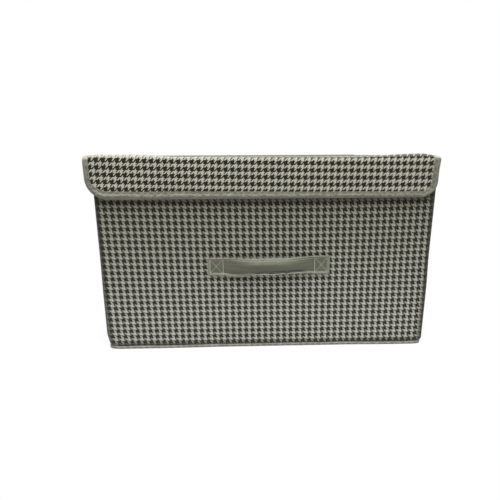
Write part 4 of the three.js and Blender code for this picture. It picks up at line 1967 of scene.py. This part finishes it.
@dataclass
class Lid(Assembly):
    """The lid with its folded flap: one printed cloth, one lining and one tape all round."""

    lay: LidLay = field(default_factory=LidLay)
    pattern: LidPrint = field(default_factory=LidPrint)
    left: float = -216.2 * MM
    right: float = 207.8 * MM
    rear: float = 151.1 * MM
    flap_bottom: float = 200.3 * MM
    rear_radius: float = 10 * MM
    left_radius: float = 25 * MM
    right_radius: float = 19 * MM
    inset: float = 1.1 * MM
    cover: float = 1.0 * MM
    lining: float = 0.8 * MM
    wave: float = 0.55 * MM
    lining_wave: float = 0.4 * MM
    fold_press_share: float = 0.65
    top_press_share: float = 0.55
    gather_share: float = 0.45
    stitch_low: float = 0.07 * MM
    stitch_lift: float = 0.51 * MM

    def bend(self, piece: Piece) -> Piece:
        """Bakes a piece's placement into its mesh.

        Args:
            piece: The piece.

        Returns:
            The same piece.
        """
        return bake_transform(piece)

    @property
    def front(self) -> float:
        """The flap's lower edge in the flat cloth."""
        return self.lay.flat_y(self.flap_bottom)

    def sheet(self, columns: int, step: float) -> tuple[np.ndarray, np.ndarray]:
        """The places of a sheet as large as lid and flap, drawn in at the round corners.

        Args:
            columns: How many places each row has.
            step: The usual distance between rows; they are close together in the fold.

        Returns:
            X and Y of the places in the flat cloth, by row and column.
        """
        fold = (self.lay.fold_y - self.lay.fold_length - 3 * MM, self.lay.fold_y + 3 * MM)
        rows = stations(self.front + self.inset, self.rear - self.inset, step, (*fold, 0.65 * MM))
        share, y = np.meshgrid(np.linspace(0, 1, columns), rows)
        edges = []
        for edge, side, front_radius in (
            (self.left, 1, self.left_radius),
            (self.right, -1, self.right_radius),
        ):
            drawn = self.inset
            for radius, from_end in (
                (front_radius, y - self.front),
                (self.rear_radius, self.rear - y),
            ):
                reach = radius - self.inset
                near = np.clip((radius - from_end) / reach, 0, 1)
                drawn = drawn + reach * (1 - np.sqrt(1 - near**2))
            edges.append(edge + side * drawn)
        return edges[0] + (edges[1] - edges[0]) * share, y

    def clear(self, x: np.ndarray, y: np.ndarray) -> np.ndarray:
        """1 in the open parts of the lid and flap, and 0 near their edges and fold.

        Args:
            x: Places across the lid.
            y: Places along its flat cloth.

        Returns:
            The share at each place.
        """
        off_edge = np.minimum(np.minimum(x - self.left, self.right - x), self.rear - y)
        off_edge = np.minimum(off_edge, y - self.front)
        off_fold = np.abs(y - self.lay.fold_y + self.lay.fold_length / 2)
        return smooth(off_edge, 8 * MM, 22 * MM) * smooth(off_fold, 5 * MM, 16 * MM)

    def build_cover(self) -> None:
        """Builds the printed cloth."""
        x, y = self.sheet(120, 4 * MM)
        waves = Ripples(51, 45 * MM, 150 * MM).at(x, y) * self.clear(x, y)
        fold_top = self.lay.fold_z + self.lay.fold_length - self.lay.fold_y
        chart = self.pattern.chart(x, fold_top + y)
        maker = grid(np.dstack([x, y, self.wave * waves]), chart, self.lay)
        piece = thickened(finished(maker, "lid_cloth", Slot.PRINT), self.cover)
        self.pieces.append(self.bend(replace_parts(piece, "lid_cover", "flap_cover")))

    def build_lining(self) -> None:
        """Builds the lining under the lid and behind the flap."""
        x, y = self.sheet(100, 5 * MM)
        waves = Ripples(52, 50 * MM, 150 * MM).at(x, y) * self.clear(x, y)
        height = self.lining - PANEL - self.lining_wave * waves
        maker = grid(np.dstack([x, y, height]), np.dstack([x, y]), self.lay)
        piece = thickened(finished(maker, "lid_lining_cloth", Slot.LINING), self.lining)
        self.pieces.append(self.bend(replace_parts(piece, "lid_lining", "flap_lining")))

    def edge(self) -> Outline:
        """The outermost line of the lid and flap in the flat cloth.

        Returns:
            The closed line.
        """
        radii = [self.left_radius, self.right_radius, self.rear_radius, self.rear_radius]
        line = rounded((self.left, self.front), (self.right, self.rear), radii, 2.5 * MM)
        low = self.lay.fold_y - self.lay.fold_length - 2 * MM
        return line.finer(low, self.lay.fold_y + 2 * MM, 4)

    def press(self, y: np.ndarray) -> np.ndarray:
        """How much flatter the tape is pressed on the lid, and most of all beside its fold.

        Args:
            y: Places along the flat cloth.

        Returns:
            The share of the tape's height that is lost.
        """
        fold = smooth(np.abs(y - self.lay.fold_y + 3 * MM), 11 * MM, 4 * MM)
        top = smooth(y, self.lay.fold_y, self.lay.fold_y + 6 * MM)
        return np.maximum(self.fold_press_share * fold, self.top_press_share * top)

    def build_tape(self) -> None:
        """Builds the tape folded round the edge, and the stitches on its two faces."""
        line = self.edge()
        x, y = line.points.T
        low = smooth(y, self.front + 14 * MM, self.front + 3 * MM)
        left = smooth(x, self.left + 12 * MM, self.left + 3 * MM)
        widen = low * (0.05 - 0.15 * x / self.right) - 0.14 * left * (1 - low)
        off_corner = np.abs(y - self.front - 12 * MM) + np.minimum(x - self.left, self.right - x)
        gather = self.gather_share * smooth(off_corner, 30 * MM, 12 * MM)
        rings = binding_rings(line, 61, widen, gather, self.press(y))
        tape = band("lid_tape", Slot.TAPE, self.lay, line, rings)
        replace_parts(tape, "lid_binding", "flap_binding")
        places, ways = line.moved(-SEAM_INSET).paced(STITCH_PITCH)
        height = self.stitch_low + self.stitch_lift * (1 - self.press(places[:, 1]))
        pieces = [tape, *sewn_through("lid_stitches", self.lay, places, ways, height)]
        self.pieces += [self.bend(piece) for piece in pieces]

    def build(self) -> None:
        """Builds all pieces of the lid and flap, and gives their boards their cardboard."""
        self.build_cover()
        self.build_lining()
        self.build_tape()
        dress_boards("lid_board", "flap_board")


@dataclass
class Fastener(Assembly):
    """The two patches that hold the flap to the front."""

    centre_x: float = -4.2 * MM
    centre_z: float = 221.9 * MM
    width: float = 60 * MM
    height: float = 20 * MM
    radius: float = 3 * MM
    loop_near: float = -151.9 * MM
    loop_far: float = -150.3 * MM
    hook_near: float = -153.7 * MM
    hook_far: float = -152.2 * MM

    def outline(self, inset: float) -> Outline:
        """The patches' outline, or a line inside it.

        Args:
            inset: How far it is set in.

        Returns:
            The line, in X and Z.
        """
        x, z = self.width / 2 - inset, self.height / 2 - inset
        low = (self.centre_x - x, self.centre_z - z)
        high = (self.centre_x + x, self.centre_z + z)
        return rounded(low, high, [self.radius - inset / 2] * 4, 2 * MM)

    def build(self) -> None:
        """Builds both patches and their stitches."""
        for name, node, body, near, far, bevel in (
            ("loop_pile_patch", "loop_patch", Body.WALLS, self.loop_near, self.loop_far, 0.5 * MM),
            ("hook_pile_patch", "hook_patch", Body.FLAP, self.hook_near, self.hook_far, 0.4 * MM),
        ):
            patch = plate(name, Slot.FASTENER, self.outline(0), near, far, bevel)
            self.pieces.append(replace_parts(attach(patch, body.value), node))
        places, ways = self.outline(1.6 * MM).paced(2.8 * MM)
        lay = FaceLay(self.loop_near)
        sewn = stitches("loop_patch_stitches", Slot.FASTENER, lay, places, ways, 0.05 * MM)
        self.pieces.append(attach(sewn, Body.WALLS.value))


@dataclass
class Strap(Assembly):
    """The pull strap: a folded cloth with rolled, sewn edges, sewn down at its two ends."""

    lay: StrapLay = field(default_factory=StrapLay)
    seams: tuple[float, float] = (-8.9 * MM, 9.6 * MM)

    def section(self) -> np.ndarray:
        """The strap's section, from its lower edge over its face to its upper edge and back.

        Returns:
            The section's points, across the strap and out of its face.
        """
        face = [
            (-12.5, 0.0), (-12.45, 0.8), (-12.1, 1.4), (-11.4, 1.62), (-10.5, 1.5), (-9.8, 1.1),
            (-9.4, 0.6), (-8.8, 0.42), (-7.6, 0.5), (-5.5, 0.6), (-3.5, 0.62), (-1.5, 0.6),
            (0.5, 0.62), (2.6, 0.6), (5.0, 0.62), (7.5, 0.6), (9.3, 0.5), (10.1, 0.42),
            (10.6, 0.6), (10.9, 1.1), (11.3, 1.5), (11.8, 1.62), (12.2, 1.4), (12.45, 0.8),
            (12.5, 0.0),
        ]
        back = [(a, -b * 0.9) for a, b in face[-2:0:-1]]
        return np.array([*face, *back, face[0]]) * MM

    def build(self) -> None:
        """Builds the strap and its sewing."""
        half = self.lay.length / 2
        ends = np.array([0, 0.15, 0.5, 1.0, 1.6, 2.2, 2.8]) * MM
        middle = stations(-half + 3.4 * MM, half - 3.4 * MM, 1.2 * MM)
        places = np.concatenate([ends - half, middle, half - ends[::-1]])
        line = level(places)
        ring = self.section()
        rings = line.rings(ring)
        from_end = half - np.abs(places)
        round_off = np.sqrt(np.clip(1 - (1 - from_end / (1.2 * MM)).clip(0, 1) ** 2, 0, 1))
        ridge = 1 + 1.2 * smooth(from_end, 2.9 * MM, 2.1 * MM)
        inner = (ring[:, 0] > -9.5 * MM) & (ring[:, 0] < 10.7 * MM)
        rings[:, inner, 1] *= ridge[:, None]
        rings[:, :, 1] *= round_off[:, None]
        rings[:, :, 0] *= (1 - 0.04 * (1 - round_off))[:, None]
        for index, edge in enumerate((ring[:, 0] < -9.3 * MM, ring[:, 0] > 10.5 * MM)):
            creep = 0.25 * MM * Wobble(71 + index, 9 * MM, 0.2).at(places + half)
            swell = 1 + 0.2 * Wobble(73 + index, 5 * MM, 0.2).at(places + half)
            rings[:, edge, 0] += creep[:, None]
            rings[:, edge, 1] *= swell[:, None]
        strap = band("strap_cloth", Slot.STRAP, self.lay, line, rings)
        self.pieces.append(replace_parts(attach(strap, Body.WALLS.value), "pull_strap"))
        self.sew()

    def sew(self) -> None:
        """Builds the stitches of the margins, the bars and the crosses at the ends."""
        far = self.lay.length / 2 - 3.3 * MM
        bar = self.lay.length / 2 - self.lay.sewn
        near = bar + 1.2 * MM
        low, high = self.seams
        fine = [((-far, seam), (far, seam)) for seam in (low, high)]
        strong = []
        for side in (-1, 1):
            fine.append(((side * far, low), (side * far, high)))
            fine.append(((side * near, low), (side * far, high)))
            fine.append(((side * near, high), (side * far, low)))
            strong.append(((side * bar, low - 2.2 * MM), (side * bar, high + 1.4 * MM)))
        for name, rows, height, width in (
            ("strap_stitches", fine, 0.55 * MM, 0.7 * MM),
            ("strap_bars", strong, 1.1 * MM, 1.3 * MM),
        ):
            found = [straight(start, end).paced(2.5 * MM) for start, end in rows]
            places = np.concatenate([row[0] for row in found])
            ways = np.concatenate([row[1] for row in found])
            sewn = stitches(name, Slot.STRAP, self.lay, places, ways, height, width)
            self.pieces.append(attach(sewn, Body.WALLS.value))


@dataclass
class Insert(Assembly):
    """The loose base: a board in a cloth sleeve that is open at one end."""

    left: float = -203.1 * MM
    right: float = 203.1 * MM
    half_depth: float = 143.1 * MM
    bottom: float = 2.2 * MM
    top: float = 6.4 * MM
    cloth: float = 0.8 * MM
    hem: float = 5 * MM

    def build(self) -> None:
        """Builds the sleeve and its edge stitches."""
        middle, half = (self.top + self.bottom) / 2, (self.top - self.bottom) / 2
        reach = self.half_depth - half
        edge = [
            (reach + half * math.sin(a), middle - half * math.cos(a))
            for a in np.linspace(0, math.pi, 9)
        ]
        other = [(-a, 2 * middle - b) for a, b in edge]
        top_row = [(y, self.top) for y in np.linspace(reach, -reach, 50)[1:-1]]
        low_row = [(y, self.bottom) for y in np.linspace(-reach, reach, 50)[1:-1]]
        ring = np.array([*edge, *top_row, *other, *low_row, edge[0]])
        ends = self.left + np.array([0, 0.3, 1.0, 2.0]) * MM
        places = np.concatenate([ends, stations(self.left + 4 * MM, self.right, 5 * MM)])
        line = level(places)
        rings = line.rings(ring)
        from_left = places - self.left
        closed = 0.02 + 0.98 * np.sqrt(1 - (1 - (from_left / half).clip(0, 1)) ** 2)
        rings[:, :, 1] = middle + (rings[:, :, 1] - middle) * closed[:, None]
        waves = Ripples(81, 60 * MM, 160 * MM).at(*np.meshgrid(places, ring[:, 0], indexing="ij"))
        upper = (ring[:, 1] > self.top - 0.01 * MM) & (np.abs(ring[:, 0]) < reach - 10 * MM)
        rings[:, upper, 1] += 0.45 * MM * waves[:, upper] * smooth(from_left, 0, 30 * MM)[:, None]
        sleeve = thickened(band("base_sleeve_cloth", Slot.LINING, Lay(), line, rings), self.cloth)
        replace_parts(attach(sleeve, Body.INSERT.value), "base_sleeve")
        left, right, far = self.left + self.hem, self.right - self.hem, self.half_depth - self.hem
        hem = rounded((left, -far), (right, far), [3 * MM] * 4, 5 * MM)
        places, ways = hem.paced(4 * MM)
        keep = places[:, 0] < right - 2 * MM
        height = self.top + 0.1 * MM
        sewn = stitches(
            "base_sleeve_stitches", Slot.LINING, Lay(), places[keep], ways[keep], height
        )
        self.pieces += [sleeve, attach(sewn, Body.INSERT.value)]
        dress_boards("base_board")


# The stage


@dataclass
class Stage:
    """A white floor, soft studio light and the camera."""

    floor_size: float = 12
    floor_near: float = 0.9
    floor_far: float = 0.3
    floor_reach: tuple[float, float] = (0.12, 0.5)
    shadow_share: float = 0.2
    shadow_reach: tuple[float, float] = (0.002, 0.05)
    half_width: float = 0.21
    half_depth: float = 0.15
    world_light: float = 0.125
    world_light: float = 0.125
    lamps: tuple[tuple[str, tuple[float, float, float], float, float], ...] = (
        ("key", (0, -0.8, 1.3), 1.0, 22.7),
        ("top", (0, -0.2, 1.5), 1.6, 15.1),
    )
    aim_height: float = 0.12
    camera_place: tuple[float, float, float] = (-0.033791, -0.629455, 0.251716)
    yaw: float = 0.02664
    pitch: float = 0.2405
    roll: float = -0.00551
    lens: float = 28.0014

    def from_box(self, paint: Paint) -> Shade:
        """How far a place on the floor is from the box.

        Args:
            paint: The floor's nodes.

        Returns:
            The distance, in metres.
        """
        x, y, _ = paint.parts(paint.place())
        off_x = (abs(x) - self.half_width).larger(0)
        off_y = (abs(y) - self.half_depth).larger(0)
        return (off_x * off_x + off_y * off_y).root()

    def build_floor(self) -> None:
        """Lays the floor, white to the eye, which keeps the box's shadow close to it."""
        maker = bmesh.new()
        bmesh.ops.create_grid(maker, x_segments=1, y_segments=1, size=self.floor_size)
        mesh = bpy.data.meshes.new("floor")
        maker.to_mesh(mesh)
        maker.free()
        floor = placed("floor", mesh)
        paint = Paint("white_floor")
        off = self.from_box(paint)
        near = paint.node("ShaderNodeBsdfDiffuse", None, {"Color": (*[self.floor_near] * 3, 1)})
        far = paint.node("ShaderNodeBsdfDiffuse", None, {"Color": (*[self.floor_far] * 3, 1)})
        away = off.between(*self.floor_reach)
        lit = paint.node("ShaderNodeMixShader", None, {0: away, 1: near, 2: far})
        glow = paint.node("ShaderNodeEmission", None, {"Strength": 1.0})
        share = 1 - self.shadow_share * (1 - off.between(*self.shadow_reach))
        both = paint.node("ShaderNodeMixShader", None, {0: paint.seen() * share, 1: lit, 2: glow})
        paint.node("ShaderNodeOutputMaterial", None, {"Surface": both})
        mesh.materials.append(paint.material)

    def build_world(self) -> None:
        """Makes the even light from all round, with white behind the box."""
        world = bpy.data.worlds.new("studio")
        bpy.context.scene.world = world
        tree = NodeTree(world)
        plain = {"Color": (1, 1, 1, 1)}
        light = tree.node("ShaderNodeBackground", None, plain | {"Strength": self.world_light})
        white = tree.node("ShaderNodeBackground", None, plain | {"Strength": 1.0})
        both = tree.node("ShaderNodeMixShader", None, {0: tree.seen(), 1: light, 2: white})
        tree.node("ShaderNodeOutputWorld", None, {"Surface": both})

    def build_lamp(
        self, name: str, place: tuple[float, float, float], size: float, power: float
    ) -> None:
        """Hangs a square lamp that looks at the box.

        Args:
            name: Its name.
            place: Where it hangs.
            size: The length of its side, in metres.
            power: Its power, in watts.
        """
        data = bpy.data.lights.new(name, "AREA")
        data.shape = "SQUARE"
        data.size = size
        data.energy = power
        lamp = placed(name, data)
        lamp.location = place
        aim = Vector((0, 0, self.aim_height)) - Vector(place)
        lamp.rotation_euler = aim.to_track_quat("-Z", "Y").to_euler()

    def build_camera(self) -> None:
        """Sets the camera where the photograph was taken from."""
        data = bpy.data.cameras.new("camera")
        data.lens = self.lens
        data.sensor_width = 36
        camera = placed("camera", data)
        turn = Matrix.Rotation(-self.yaw, 4, "Z")
        turn = turn @ Matrix.Rotation(math.pi / 2 - self.pitch, 4, "X")
        turn = turn @ Matrix.Rotation(self.roll, 4, "Z")
        camera.matrix_world = Matrix.Translation(self.camera_place) @ turn
        bpy.context.scene.camera = camera

    def build(self) -> None:
        """Builds the whole stage."""
        self.build_floor()
        self.build_world()
        for lamp in self.lamps:
            self.build_lamp(*lamp)
        self.build_camera()
        bpy.context.scene.view_settings.view_transform = "Standard"


def main() -> None:
    """Builds the box, reports each piece and builds the stage."""
    logging.basicConfig(level=logging.INFO, format="%(name)s %(message)s")
    for assembly in (Walls(), Hinge(), Lid(), Fastener(), Strap(), Insert()):
        assembly.build()
        for piece in assembly.pieces:
            LOG.info("%s: %d faces", piece.name, len(piece.data.polygons))
    Stage().build()


def write_sizes() -> None:
    """Updates the view layer."""
    bpy.context.view_layer.update()


if __name__ == "__main__":
    main()
    write_sizes()
